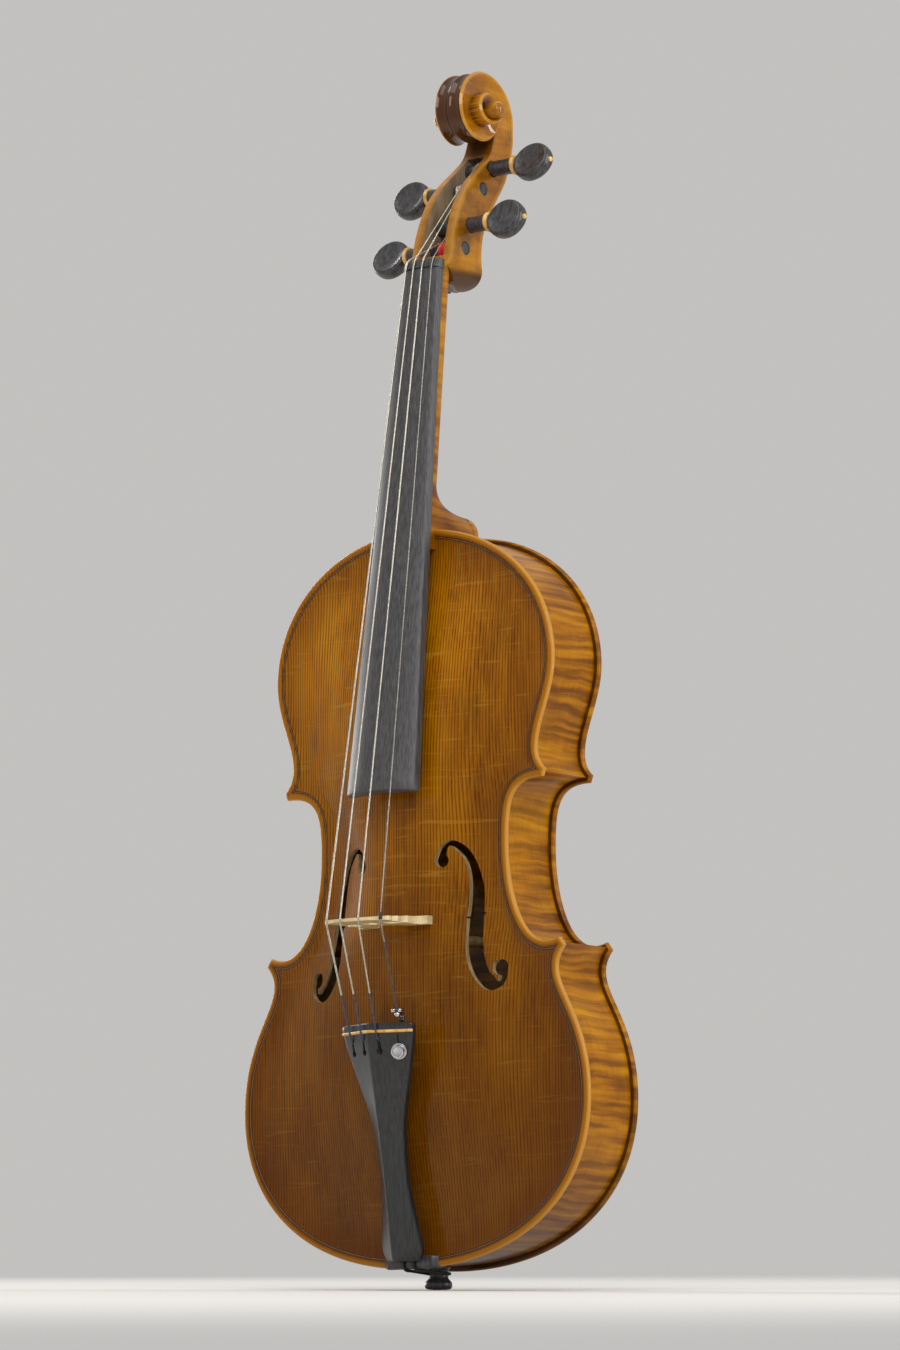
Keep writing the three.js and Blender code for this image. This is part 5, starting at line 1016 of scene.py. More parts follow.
def scrollParts():
    keys = [headSection(headPlace(front), headPlace(back), head["half"] * share, head["half"] * share, 0, scroll["flute"] * min(1, 0.25 + i / 4))
            for i, (front, back, share) in enumerate(pegboxSections)]
    under = -scroll["throatTurn"]
    throat = onSpiral(under, spiralRadius(fullTurn) * scroll["throatShare"])
    keys.append(headSection(throat, onSpiral(under, spiralRadius(under)), scroll["half"], scroll["half"], 0, scroll["flute"]))
    sections = [voluteSection(fullTurn * i / scroll["steps"]) for i in range(scroll["steps"] + 1)]
    keys.append(sections[0])
    box = smoothRow(keys, 7)
    down = np.clip((head["chinTop"] - box[..., 2]) / head["chinRise"], 0, 1)
    box[..., 0] *= np.sqrt(np.maximum(1 - down ** 2.2, 0.004))  # the back of the pegbox ends in a round chin
    points, faces = loft(box)
    parts = [(points, faces[:-1])]  # the far end opens into the volute
    shades = np.zeros(box.shape[:2])
    shades[:, flutes] = np.linspace(0.35, head["stainAndShade"], len(box))[:, None]
    # the front of the throat is darker; the front edges get a pale painted highlight, where the varnish is also rubbed
    # thin
    throatShare = np.clip((np.linspace(0, 1, len(box)) - 0.76) / 0.06, 0, 1)[:, None]
    shades[:, -3:] = head["stainAndShade"] * throatShare
    shades[:, (0, -4)] = (head["stainAndShade"] * 0.6 + head["wearAndHighlight"]) * throatShare - head["wearAndHighlight"]
    shades[:, edgePlaces] = -head["wearAndHighlight"]
    stainsAndShades = [np.where(down > 0, head["stainAndShade"] * np.clip(down * 3, 0, 1), shades)]
    rims = np.array([section[:-3] for section in sections])
    parts.append((rims.reshape(-1, 3), bandFaces(len(rims), rims.shape[1], around=False)))
    shades = np.zeros(rims.shape[:2])
    shades[:, flutes] = head["stainAndShade"]
    shades[:, edgePlaces] = -head["wearAndHighlight"]
    stainsAndShades.append(shades)
    for hand in (treble, bass):
        last = round(scroll["turns"] * scroll["steps"])
        rows = np.array([voluteFlank(fullTurn * i / scroll["steps"], hand) for i in range(scroll["steps"], last + 1)])
        count, columns = rows.shape[:2]
        faces = bandFaces(count, columns, around=False)
        points = rows.reshape(-1, 3)
        hub = len(points)
        points = np.vstack([points, [(rows[-1, 0, 0], eyeY, eyeZ)]])
        rimLoop = [i * columns for i in range(count - scroll["steps"], count)] + [(count - 1) * columns + k for k in range(1, columns)]
        faces += [(hub, rimLoop[i], rimLoop[(i + 1) % len(rimLoop)]) for i in range(len(rimLoop))]
        parts.append((points, faces))
        shades = np.zeros((count, columns))
        # painted shade at the foot of each volute wall, where varnish also gathers
        shades[:, :4] = (0.9, 0.75, 0.4, 0.12)
        left = (np.arange(count)[::-1] / scroll["steps"])[:, None]  # turns still to go to the eye
        # painted shade deepening in the recess around the eye
        deep = np.clip((1.9 - left) / 0.5, 0, 1) * np.clip((left - 0.35) / 0.3, 0, 1)
        shades[:, :6] += deep * ((0.95, 0.92, 0.88, 0.78, 0.55, 0.25) - shades[:, :6])
        # painted highlight on each wall's rim, painted shade at the foot beyond it
        shades[:, wallSteps - 1:] = (-head["wearAndHighlight"], -head["wearAndHighlight"], 0.9)
        stainsAndShades += [shades, np.zeros(1)]
    return parts, np.concatenate([shade.ravel() for shade in stainsAndShades])


pegHoles = {"c": (0.541, 0.141), "a": (0.646, 0.287), "g": (0.956, 0.532), "d": (1.175, 0.673)}
pegHands = {"c": bass, "g": bass, "d": treble, "a": treble}
shank = {"wide": 4.4, "narrow": 3.7, "play": 0.2}


# A peg thins from its head's side to its far end
def shankRadius(along):
    return shank["narrow"] + (shank["wide"] - shank["narrow"]) * (along + head["half"]) / (head["half"] * 2)


def makeHead():
    parts, shades = scrollParts()
    points, faces, _ = together(*parts)
    stainsAndShades = KDTree(len(points))
    for number, point in enumerate(points):
        stainsAndShades.insert(point, number)
    stainsAndShades.balance()
    carved = makeMesh("pegbox_and_scroll", points, faces, [headMaple], "instrument", ["neck_and_scroll"], sharp=28)
    cavityKeys = [
        [(0.245, 0.085), (0.8, 0.05), 0.72, 0], [(0.323, 0.24), (0.934, 0.271), 0.74, 0.2], [(0.465, 0.412), (1.153, 0.438), 0.76, 0.45],
        [(0.683, 0.553), (1.382, 0.579), 0.76, 0.65], [(0.934, 0.661), (1.535, 0.71), 0.74, 0.85], [(1.1, 0.745), (1.6, 0.82), 0.55, 1],
    ]
    rings = []
    for front, back, floor, share in cavityKeys:
        front, back = headPlace(front), headPlace(back)
        along = (back - front) / np.linalg.norm(back - front)
        mouth, bottom = front - along * 4, front + (back - front) * floor
        half = 8.6 + (6 - 8.6) * share
        rings.append([at3(half, mouth), at3(half, bottom - along), at3(half - 1, bottom), at3(1 - half, bottom), at3(-half, bottom - along), at3(-half, mouth)])
    points, faces = loft(smoothRow(rings, 6))
    cutters = [makeMesh("pegbox_cutter", points, faces, mortiseMaple, None)]
    for name, at in pegHoles.items():
        y, z = headPlace(at)
        ends = [(shankRadius(x) + shank["play"], x) for x in (-head["half"] - 3, head["half"] + 3)]
        points, faces = lathe([(0, ends[0][1]), *ends, (0, ends[1][1])], 48, (1, 0, 0))
        cutters.append(makeMesh("peg_bore_cutter", points * (pegHands[name], 1, 1) + (0, y, z), faces, mortiseMaple, None))
    cutAway(carved, *cutters, sharp=28)
    setPlace(carved.data, meshPoints(carved))
    setFloat(carved.data, "stainAndShade", [shades[stainsAndShades.find(point)[1]] for point in meshPoints(carved)])

    points, faces = loft(makeNeckRings())
    makeMesh("neck_carved", points, faces, neckMaple, "instrument", wood=points, sharp=40)

    cap, half = scroll["eyeRadius"], scroll["eyeHalf"]
    profile = [(0, -half - 0.1), (1.6, -half), (2.9, 0.5 - half), (3.8, 1.3 - half), (cap, 2.4 - half), (cap, half - 2.4), (3.8, half - 1.3),
               (2.9, half - 0.5), (1.6, half), (0, half + 0.1)]
    points, faces = lathe(profile, 48, (1, 0, 0), (0, eyeY, eyeZ))
    makeMesh("scroll_eye", points, faces, headMaple, "instrument", wood=points)
    print("head and neck ready")


mortiseMaple = plainMaterial("stained_mortise", "#7E6A52", "#A08A6C", 0.7, (200, 200, 60))  # inside of the pegbox, stained dull brown, painted lighter to make up for the shade in the deep cavity
neckMaple = varnished("oiled_neck_maple", lambda t, p: maplePattern(t, p, 0.1, 0.5, 0.2), gloss=0.14, bump=0.1)
makeBoard()
makeNut()
makeHead()


# Fittings

def mirrored(rows, hand):
    return [(hand * x, y) for x, y in rows]


# Turns the corners of a path into short curves
def rounded(path, reach, fine=5):
    path = np.asarray(path, float)
    out = [path[0]]
    for before, at, after in zip(path[:-2], path[1:-1], path[2:]):
        a, b = np.linalg.norm(at - before), np.linalg.norm(after - at)
        start = at + (before - at) / a * min(reach, a * 0.45)
        end = at + (after - at) / b * min(reach, b * 0.45)
        for share in np.linspace(0, 1, fine):
            out.append(start * (1 - share) ** 2 + 2 * at * share * (1 - share) + end * share ** 2)
    out.append(path[-1])
    return np.array(out)


# A flat outline pulled in by an even amount
def shrunk(flat, inset):
    flat = np.asarray(flat, float)
    along = np.roll(flat, -1, axis=0) - np.roll(flat, 1, axis=0)
    along /= np.linalg.norm(along, axis=1)[:, None] + 1e-9
    area = np.sum(flat[:, 0] * np.roll(flat[:, 1], -1) - flat[:, 1] * np.roll(flat[:, 0], -1))
    return flat + inset * math.copysign(1, area) * np.stack([-along[:, 1], along[:, 0]], 1)


# A plate of any outline with eased edges, laid across one axis: 0 for x, 1 for y, 2 for z
def easedPlate(flat, low, high, axis, ease=0.25):
    rings = []
    for place, inset in ((low, ease), (low + ease * 0.3, ease * 0.3), (low + ease, 0), (high - ease, 0), (high - ease * 0.3, ease * 0.3), (high, ease)):
        rings.append(np.insert(shrunk(flat, inset), axis, place, axis=1))
    return loft(rings)


def roundedBox(width, tall, round_, centre=(0, 0), fine=5):
    row = []
    for cx, cy, turn in ((1, 1, 0), (-1, 1, 90), (-1, -1, 180), (1, -1, 270)):
        for step in range(fine):
            angle = math.radians(turn + 90 * step / (fine - 1))
            row.append((centre[0] + cx * (width / 2 - round_) + round_ * math.cos(angle), centre[1] + cy * (tall / 2 - round_) + round_ * math.sin(angle)))
    return np.array(row)


saddle = {"half": 19, "depth": 7, "rise": 2.6}


def makeSaddle():
    rings = []
    base = -body["glue"] - 0.1
    for x in [-19, -18.85, -18.5, *np.linspace(-18, 18, 49), 18.5, 18.85, 19]:
        lift = min(max((saddle["half"] - abs(x)) / 4.2, 0), 1)
        rise = saddle["rise"] * (lift * lift * (3 - 2 * lift))
        ends = max(0, abs(x) - 18.5) * 0.6
        groove = sum(0.45 * max(0, 1 - ((x - s) / 1.1) ** 2) for s in (-3.6, 3.6))
        top = -(edgeY + rise) + groove
        low, high = body["bottom"] + ends, body["bottom"] + saddle["depth"] - ends * 0.5
        row = [(base, low), (top + 2.4, low), (top + 1.1, low + 0.28), (top + 0.4, low + 0.95), (top + 0.05, low + 2), (top, low + 3.2),
               (top + 0.02, high - 1.2), (top + 0.25, high - 0.45), (top + 0.8, high), (base, high)]
        rings.append([(x, y, z) for y, z in row])
    points, faces = loft(rings)
    makeMesh("saddle_rounded", points, faces, ebony, "instrument", ["saddle"], sharp=50)


endButton = {"cap": 7.6, "waist": 5.4, "flange": 6.6, "plug": 4, "plugEnd": 3.2, "plugLength": 21}


def makeEndButton():
    base = body["bottom"] + body["overhang"] - gap
    profile = [(0, 0.25), (2.2, 0.3), (4.2, 0.12), (5.6, 0), (6.6, 0.25), (7.3, 0.85), (7.6, 1.8), (7.55, 3.4), (7.1, 4.3), (6.2, 5.1),
               (5.55, 5.9), (5.4, 7), (5.4, base - 3.6), (5.55, base - 2.6), (6.1, base - 1.95), (6.5, base - 1.6), (6.6, base - 1),
               (6.5, base - 0.4), (6.2, base), (4, base), (3.2, base + 20.6), (2.8, base + 21), (0, base + 21)]
    points, faces = lathe(profile, 72)
    makeMesh("end_button_turned", points, faces, ebony, "instrument", ["end_button"], sharp=40)


bridge = {
    "height": 40.2, "footThickness": 4.8, "topThickness": 1.7, "crownRadius": 41, "crownShift": 1.5, "crownHalf": 21.5,
    "footHalf": 24.3, "ankleUp": 0.085, "archUp": 0.09, "footFrom": 0.48, "footMiddle": 0.72, "ease": 0.35,
    "side": [[0.89, 0.8], [0.85, 0.73], [0.78, 0.66], [0.84, 0.575], [0.72, 0.52], [0.6, 0.6], [0.44, 0.6], [0.36, 0.5],
             [0.44, 0.4], [0.62, 0.39], [0.72, 0.44], [0.86, 0.4], [0.78, 0.27], [0.76, 0.17], [0.86, 0.105]],
    "arch": [[0.4, 0.105], [0.3, 0.2], [0.16, 0.265], [0.06, 0.25]],
    "heart": [[0, 0.58], [0.13, 0.66], [0.2, 0.6], [0.17, 0.5], [0, 0.42]],
}
bridgeZ = bodyTop - body["length"] * 0.5378
crownTop = -(edgeY + body["frontArch"] + bridge["height"])


def crownY(x):
    return crownTop + bridge["crownRadius"] - math.sqrt(bridge["crownRadius"] ** 2 - (x + bridge["crownShift"]) ** 2)


# The bridge is cut out of a flat blank, then thinned towards its crown
def makeBridge():
    footY = lambda x: frontAt(x, bridgeZ) - 0.05
    half = bridge["footHalf"]
    ground = footY(half * bridge["footMiddle"])
    tall = ground - crownTop
    place = lambda s, hand: (hand * half * s[0], ground - tall * s[1])
    ease = bridge["ease"]
    crown = [(x, crownY(x)) for x in np.linspace(-bridge["crownHalf"] + 0.3, bridge["crownHalf"] - 0.3, 41)]

    def flankOf(hand):
        rows = [(hand * bridge["crownHalf"], crownY(hand * bridge["crownHalf"]) + 0.4)]
        rows += [place(s, hand) for s in bridge["side"]]
        rows.append((hand * half, ground - tall * bridge["ankleUp"]))
        curve = smoothRow(np.array(rows), 6).tolist()
        foot = [(hand * half * s, footY(half * s * hand)) for s in np.linspace(1, bridge["footFrom"], 9)]
        return curve + foot
    arch = [(half * bridge["footFrom"], ground - tall * bridge["archUp"])] + [place(s, 1) for s in bridge["arch"]]
    arch = arch + [(-x, y) for x, y in arch[::-1]]
    flat = crown + flankOf(1) + smoothRow(np.array(arch), 6).tolist() + flankOf(-1)[::-1]
    heart = bridge["heart"] + [[-x, up] for x, up in bridge["heart"][1:-1][::-1]]
    tip = np.array([place(s, 1) for s in heart])
    right = smoothRow(tip[:5], 6)
    hole = np.vstack([right, (right[1:-1] * (-1, 1))[::-1]])

    curve = bpy.data.curves.new("bridge_blank", "CURVE")
    curve.dimensions = "2D"
    curve.fill_mode = "BOTH"
    curve.extrude = 0.5 - ease * 0.3
    curve.bevel_depth = ease * 0.3
    curve.bevel_resolution = 2
    curve.offset = -ease * 0.3
    for row in (flat, hole):
        spline = curve.splines.new("POLY")
        spline.points.add(len(row) - 1)
        spline.points.foreach_set("co", np.hstack([np.asarray(row), np.zeros((len(row), 1)), np.ones((len(row), 1))]).ravel())
        spline.use_cyclic_u = True
    blank = bpy.data.objects.new("bridge_blank", curve)
    bpy.context.scene.collection.objects.link(blank)
    bpy.context.view_layer.update()
    mesh = bpy.data.meshes.new_from_object(blank.evaluated_get(bpy.context.evaluated_depsgraph_get()))
    flatPoints = np.zeros(len(mesh.vertices) * 3)
    mesh.vertices.foreach_get("co", flatPoints)
    flatPoints = flatPoints.reshape(-1, 3)
    faces = [tuple(face.vertices) for face in mesh.polygons]
    bpy.data.objects.remove(blank)
    bpy.data.meshes.remove(mesh)
    up = np.clip((ground - flatPoints[:, 1]) / tall, 0, 1)
    thick = bridge["footThickness"] + (bridge["topThickness"] - bridge["footThickness"]) * up ** 1.15
    z = bridgeZ - bridge["footThickness"] / 2 + thick * (flatPoints[:, 2] + 0.5)
    points = np.stack([flatPoints[:, 0], flatPoints[:, 1], z], 1)
    looks = []
    for face in faces:
        a, b, c = (points[i] for i in face[:3])
        across = np.cross(b - a, c - a)
        looks.append(0 if abs(across[2]) > 0.8 * np.linalg.norm(across) else 1)
    makeMesh("bridge_cut", points, faces, [bridgeMaple, bridgeCut], "instrument", ["bridge"], sharp=30, indices=looks)


tailpiece = {
    "afterLength": 57, "footZ": 14.4, "headHalf": 24.8, "headEdgeY": -53.8, "footEdgeY": -31.4, "ridge": 8.4,
    "thickness": 3.4, "fretBelow": 4.6, "holesBelow": 15.6, "vault": 1.5, "fretWidth": 1.7, "fretRise": 0.9,
    "holeRadius": 1.75, "slotHalf": 0.9, "slotLength": 7,
    "widths": [[0, 0.97], [0.02, 1], [0.09, 0.93], [0.24, 0.71], [0.4, 0.47], [0.53, 0.39], [0.67, 0.37], [0.8, 0.45],
               [0.93, 0.55], [0.98, 0.5], [1, 0.42]],
}
tailHeadZ = bridgeZ - tailpiece["afterLength"]
tailLength = tailHeadZ - tailpiece["footZ"]
tailSlope = (tailpiece["footEdgeY"] - tailpiece["headEdgeY"]) / tailLength
fretZ = tailHeadZ - tailpiece["fretBelow"]
holeZ = tailHeadZ - tailpiece["holesBelow"]
tailCurve = smoothRow(np.array(tailpiece["widths"]), 10)


def tailHalf(z):
    return tailpiece["headHalf"] * float(np.interp((tailHeadZ - z) / tailLength, tailCurve[:, 0], tailCurve[:, 1]))


def tailEdge(z):
    return tailpiece["headEdgeY"] + tailSlope * (tailHeadZ - z)


def tailTop(x, z):
    away = min(abs(x) / tailHalf(z), 1)
    blunt = 0.35 * max(0, 1 - (abs(x) / 1.3)) ** 2  # the ridge is eased, not sharp
    return tailEdge(z) - tailpiece["ridge"] * (1 - away) + blunt


def tailUnder(x, z):
    away = min(abs(x) / tailHalf(z), 1)
    return tailEdge(z) - tailpiece["ridge"] * (1 - away) + tailpiece["thickness"] + tailpiece["vault"] * (1 - away)


def makeTailpiece():
    rings = []
    places = [tailHeadZ, tailHeadZ - 0.12, tailHeadZ - 0.5, *np.linspace(tailHeadZ - 1.2, tailpiece["footZ"] + 1.2, 110),
              tailpiece["footZ"] + 0.5, tailpiece["footZ"] + 0.12, tailpiece["footZ"]]
    for z in places:
        end = min(tailHeadZ - z, z - tailpiece["footZ"])
        inset = 0.7 * (1 - min(end / 0.7, 1)) ** 2
        half = tailHalf(z)
        inner = half - inset
        xs = np.concatenate([np.linspace(-inner + 0.8, -1.4, 14), [-0.9, -0.45, 0, 0.45, 0.9], np.linspace(1.4, inner - 0.8, 14)])
        edge = lambda x, drop: (x, tailTop(x, z) + drop + inset)
        row = [edge(-inner, 1.3), edge(-inner + 0.08, 0.75), edge(-inner + 0.35, 0.28), *[edge(x, 0) for x in xs],
               edge(inner - 0.35, 0.28), edge(inner - 0.08, 0.75), edge(inner, 1.3)]
        under = [(x, tailUnder(x, z) - inset) for x in np.linspace(inner - 0.6, -inner + 0.6, 21)]
        row += [(inner, tailUnder(inner, z) - inset - 0.6), *under, (-inner, tailUnder(inner, z) - inset - 0.6)]
        rings.append([(x, y, z) for x, y in row])
    points, faces = loft(rings)
    tail = makeMesh("tailpiece_carved", points, faces, [tailEbony], "instrument", ["tailpiece"], sharp=30)
    cutters = []
    for x in (-16.05, -5.35, 5.35):
        angles = np.linspace(math.radians(122), math.radians(418), 33)
        hole = [(x + tailpiece["holeRadius"] * math.cos(a), holeZ + tailpiece["holeRadius"] * math.sin(a)) for a in angles]
        slot = [(x + tailpiece["slotHalf"] * math.cos(a), holeZ + tailpiece["slotLength"] + 0.9 * math.sin(a) - 0.9) for a in np.linspace(0, math.pi, 9)]
        cutters.append(prism("keyhole_cutter", hole + slot, -20, -90, ebony))
    slit = [(16.05 + x, holeZ + z) for x, z in ((-0.45, 3), (0.45, 3), (0.45, 9), (0, 9.4), (-0.45, 9))]
    cutters.append(prism("slit_cutter", slit, -20, -90, ebony))
    turn = np.array(tunerPlace())
    points, faces = lathe([(0, -30), (2.75, -30), (2.75, 30), (0, 30)], 32, (0, 1, 0))
    cutters.append(makeMesh("screw_cutter", points @ turn[:3, :3].T + turn[:3, 3], faces, ebony, None))
    cutAway(tail, *cutters, sharp=30)

    rings = []
    half = tailHalf(fretZ) + 0.15
    xs = np.concatenate([[-half, -half + 0.08, -half + 0.3], np.linspace(-half + 0.8, -1.5, 12), [-0.8, 0, 0.8], np.linspace(1.5, half - 0.8, 12), [half - 0.3, half - 0.08, half]])
    for x in xs:
        end = 0.5 * (1 - min((half - abs(x)) / 0.5, 1)) ** 2
        row = [(math.cos(a) * (tailpiece["fretWidth"] / 2 - end), math.sin(a) * (tailpiece["fretRise"] - end)) for a in np.linspace(0, math.pi, 11)]
        row += [(-tailpiece["fretWidth"] / 2 + end, -0.4), (tailpiece["fretWidth"] / 2 - end, -0.4)]
        rings.append([(x, tailTop(min(max(x, -half + 0.16), half - 0.16), fretZ) - up, fretZ + z) for z, up in row])
    points, faces = loft(rings)
    makeMesh("tailpiece_inlaid_fret", points, faces, boxwood, "instrument", ["tailpiece_fret"], sharp=50)


# The fine tuner's own frame: its Y runs into the tailpiece, its Z up towards the bridge
def tunerPlace():
    x = 16.05
    lean = math.atan(tailpiece["ridge"] / tailpiece["headHalf"] / float(np.interp(tailpiece["holesBelow"] / tailLength, *np.array(tailpiece["widths"]).T)))
    away = 1 - x / (tailpiece["ridge"] / math.tan(lean))
    at = (x, tailEdge(holeZ) - tailpiece["ridge"] * away, holeZ)
    return Matrix.Translation(at) @ Matrix.Rotation(lean, 4, "Z") @ Matrix.Rotation(math.atan(tailSlope), 4, "X")


tuner = {
    "screwRadius": 1.3, "screwEnd": 7.3, "headRadius": 3.7, "headHeight": 2.6, "headFrom": -2.2, "nutRadius": 4.6,
    "nutHeight": 1.5, "bossRadius": 2.3, "plateAt": 4.1, "plateThickness": 1.2, "plateBack": -4.5, "plateFront": 14, "width": 7,
    "earWidth": 1.2, "earBack": 9.4, "pivotY": 7.8, "pivotZ": 11, "pinRadius": 1, "eyeRadius": 2, "leverWidth": 3,
    "leverDepth": 9.8, "leverReach": 23.3, "clawWidth": 6, "clawTop": -2.9, "clawFoot": 2.2, "clawZ": 21.5, "clawThickness": 1.8,
    "stringY": -0.4, "ball": 1.6, "knurls": 40, "threadPitch": 0.5,
    "lever": [[0.949, -0.077], [0.816, -0.077], [0.704, 0.395], [0.602, 0.455], [0.602, 0.498], [0.643, 0.558],
              [0.592, 0.764], [0.204, 0.944], [0.204, 1], [0.408, 1], [0.776, 0.841], [0.857, 0.579], [0.98, 0.515],
              [1, 0.472], [0.959, 0.412]],
}


# A disc with a rim of straight knurls
def knurled(radius, low, high, inner=0, dish=0.0, ease=0.35):
    sides = tuner["knurls"] * 4
    angles = np.arange(sides) * 2 * math.pi / sides
    bite = 0.11 * (1 + np.cos(angles * tuner["knurls"])) / 2
    flat = [(radius - ease - 0.05, low, 0), (radius - ease * 0.4, low + ease * 0.3, 0.3), (radius, low + ease, 1), (radius, high - ease, 1),
            (radius - ease * 0.4, high - ease * 0.3, 0.3), (radius - ease - 0.05, high, 0)]
    profile = [(inner, high, 0), *flat[::-1], (inner, low, 0)]
    if dish:
        profile = [(inner, high, 0), *flat[::-1], (radius - 1.0, low, 0), (radius - 1.25, low + dish * 0.7, 0), (radius - 1.7, low + dish, 0), (inner, low + dish, 0)]
    rings = []
    for r, y, share in profile:
        size = r - bite * share
        rings.append(np.stack([size * np.cos(angles), np.full(sides, y), size * np.sin(angles)], 1))
    points, faces = loft(rings, caps=False)
    rows = len(rings)
    if inner:
        faces += [((rows - 1) * sides + j, (rows - 1) * sides + (j + 1) % sides, (j + 1) % sides, j) for j in range(sides)]
    return points, faces


def threaded(radius, low, high):
    sides, rows = 24, int((high - low) / tuner["threadPitch"] * 8)
    angles = np.arange(sides) * 2 * math.pi / sides
    rings = [[(0, low, 0)] * sides]
    for y in np.linspace(low, high, rows):
        wave = np.abs(((y / tuner["threadPitch"] - angles / (2 * math.pi)) % 1) * 2 - 1)
        size = radius - 0.2 * wave
        if high - y < 0.3:
            size = size * (1 - 0.12 * (1 - (high - y) / 0.3))
        rings.append(np.stack([size * np.cos(angles), np.full(sides, y), size * np.sin(angles)], 1))
    rings.append([(0, high, 0)] * sides)
    return loft(rings, caps=False)


def makeTuner():
    turn = np.array(tunerPlace())
    place = lambda points: np.asarray(points) @ turn[:3, :3].T + turn[:3, 3]

    def put(name, part, riding, nodes, sharp=35, material=None):
        points, faces = part[0], part[1]
        return makeMesh(name, place(points), faces, material or nickel, riding, nodes, sharp=sharp)
    under = tuner["plateAt"] + tuner["plateThickness"]
    half = tuner["width"] / 2
    long = tuner["plateFront"] - tuner["plateBack"]
    plate = easedPlate(roundedBox(tuner["width"], long, 1.2, (0, tuner["plateBack"] + long / 2)), tuner["plateAt"], under, 1)
    tall = tuner["earBack"] - tuner["plateAt"]
    ears = [easedPlate(roundedBox(tall, tuner["eyeRadius"] * 2, 1.6, (tuner["plateAt"] + tall / 2, tuner["pivotZ"])),
                       hand * half - (hand > 0) * tuner["earWidth"], hand * half + (hand < 0) * tuner["earWidth"], 0, 0.2) for hand in (treble, bass)]
    pin = lathe([(0, -half - 0.35), (0.8, -half - 0.3), (1, -half - 0.1), (1, half + 0.1), (0.8, half + 0.3), (0, half + 0.35)], 24, (1, 0, 0),
                (0, tuner["pivotY"], tuner["pivotZ"]))
    top = -(gap + tuner["nutHeight"])
    bore = tuner["screwRadius"] + 0.12
    boss = lathe([(bore, top), (2.05, top), (2.3, top + 0.25), (2.3, under), (bore, under)], 32, (0, 1, 0))
    boss = (boss[0], boss[1][:-2] + [(4 * 32 + j, 4 * 32 + (j + 1) % 32, (j + 1) % 32, j) for j in range(32)])
    points, faces, _ = together(plate, *ears, pin, boss)
    put("tuner_frame_pressed", (points, faces), "instrument", ["tuner_frame"])
    put("tuner_ring_nut", knurled(tuner["nutRadius"], top, -0.02, 2.35), "instrument", ["tuner_nut"])
    put("tuner_threaded_screw", threaded(tuner["screwRadius"], tuner["headFrom"] + 0.05, tuner["screwEnd"]), "tuner_screw_sliding", ["tuner_screw"])
    headFrom = tuner["headFrom"] - tuner["headHeight"]
    put("tuner_knurled_head", knurled(tuner["headRadius"], headFrom, tuner["headFrom"], dish=0.55), "tuner_head_turning", ["tuner_screw_head"])

    side = [(back * tuner["leverDepth"], up * tuner["leverReach"]) for back, up in tuner["lever"]]
    side = rounded(np.array(side + side[:2]), 0.5, 4)[1:-4]
    arm = easedPlate(side, -tuner["leverWidth"] / 2, tuner["leverWidth"] / 2, 0, 0.22)
    fork = []
    for hand in (treble, bass):
        prong = roundedBox(2.3, tuner["clawFoot"] - tuner["clawTop"], 1.1, (hand * 1.85, (tuner["clawTop"] + tuner["clawFoot"]) / 2))
        fork.append(easedPlate(prong, tuner["clawZ"], tuner["clawZ"] + tuner["clawThickness"], 2, 0.4))
    root = roundedBox(5.4, 2, 0.7, (0, tuner["clawFoot"] - 1))
    fork.append(easedPlate(root, tuner["clawZ"] + 0.05, tuner["clawZ"] + tuner["clawThickness"] - 0.05, 2, 0.35))
    points, faces, _ = together(arm, *fork)
    put("tuner_bent_lever", (points, faces), "tuner_lever_tilting", ["tuner_lever"])


peg = {
    "collar": 5.8, "collarWidth": 2.2, "collarAt": 26, "headAt": 39.6, "headRadius": 12.1,
    "headLong": 1.06, "headThick": 8, "dishDepth": 1.25, "neckRadius": 3.4, "pin": 1.5,
    "tilts": {"c": -25, "g": -20, "d": -25, "a": -20},
}


def cheekHalfAt(z):
    rows = [((headPlace(b)[1] + headPlace(f)[1]) / 2, half) for f, b, half in pegboxSections[3:]]
    return head["half"] * float(np.interp(z, *np.array(rows).T))


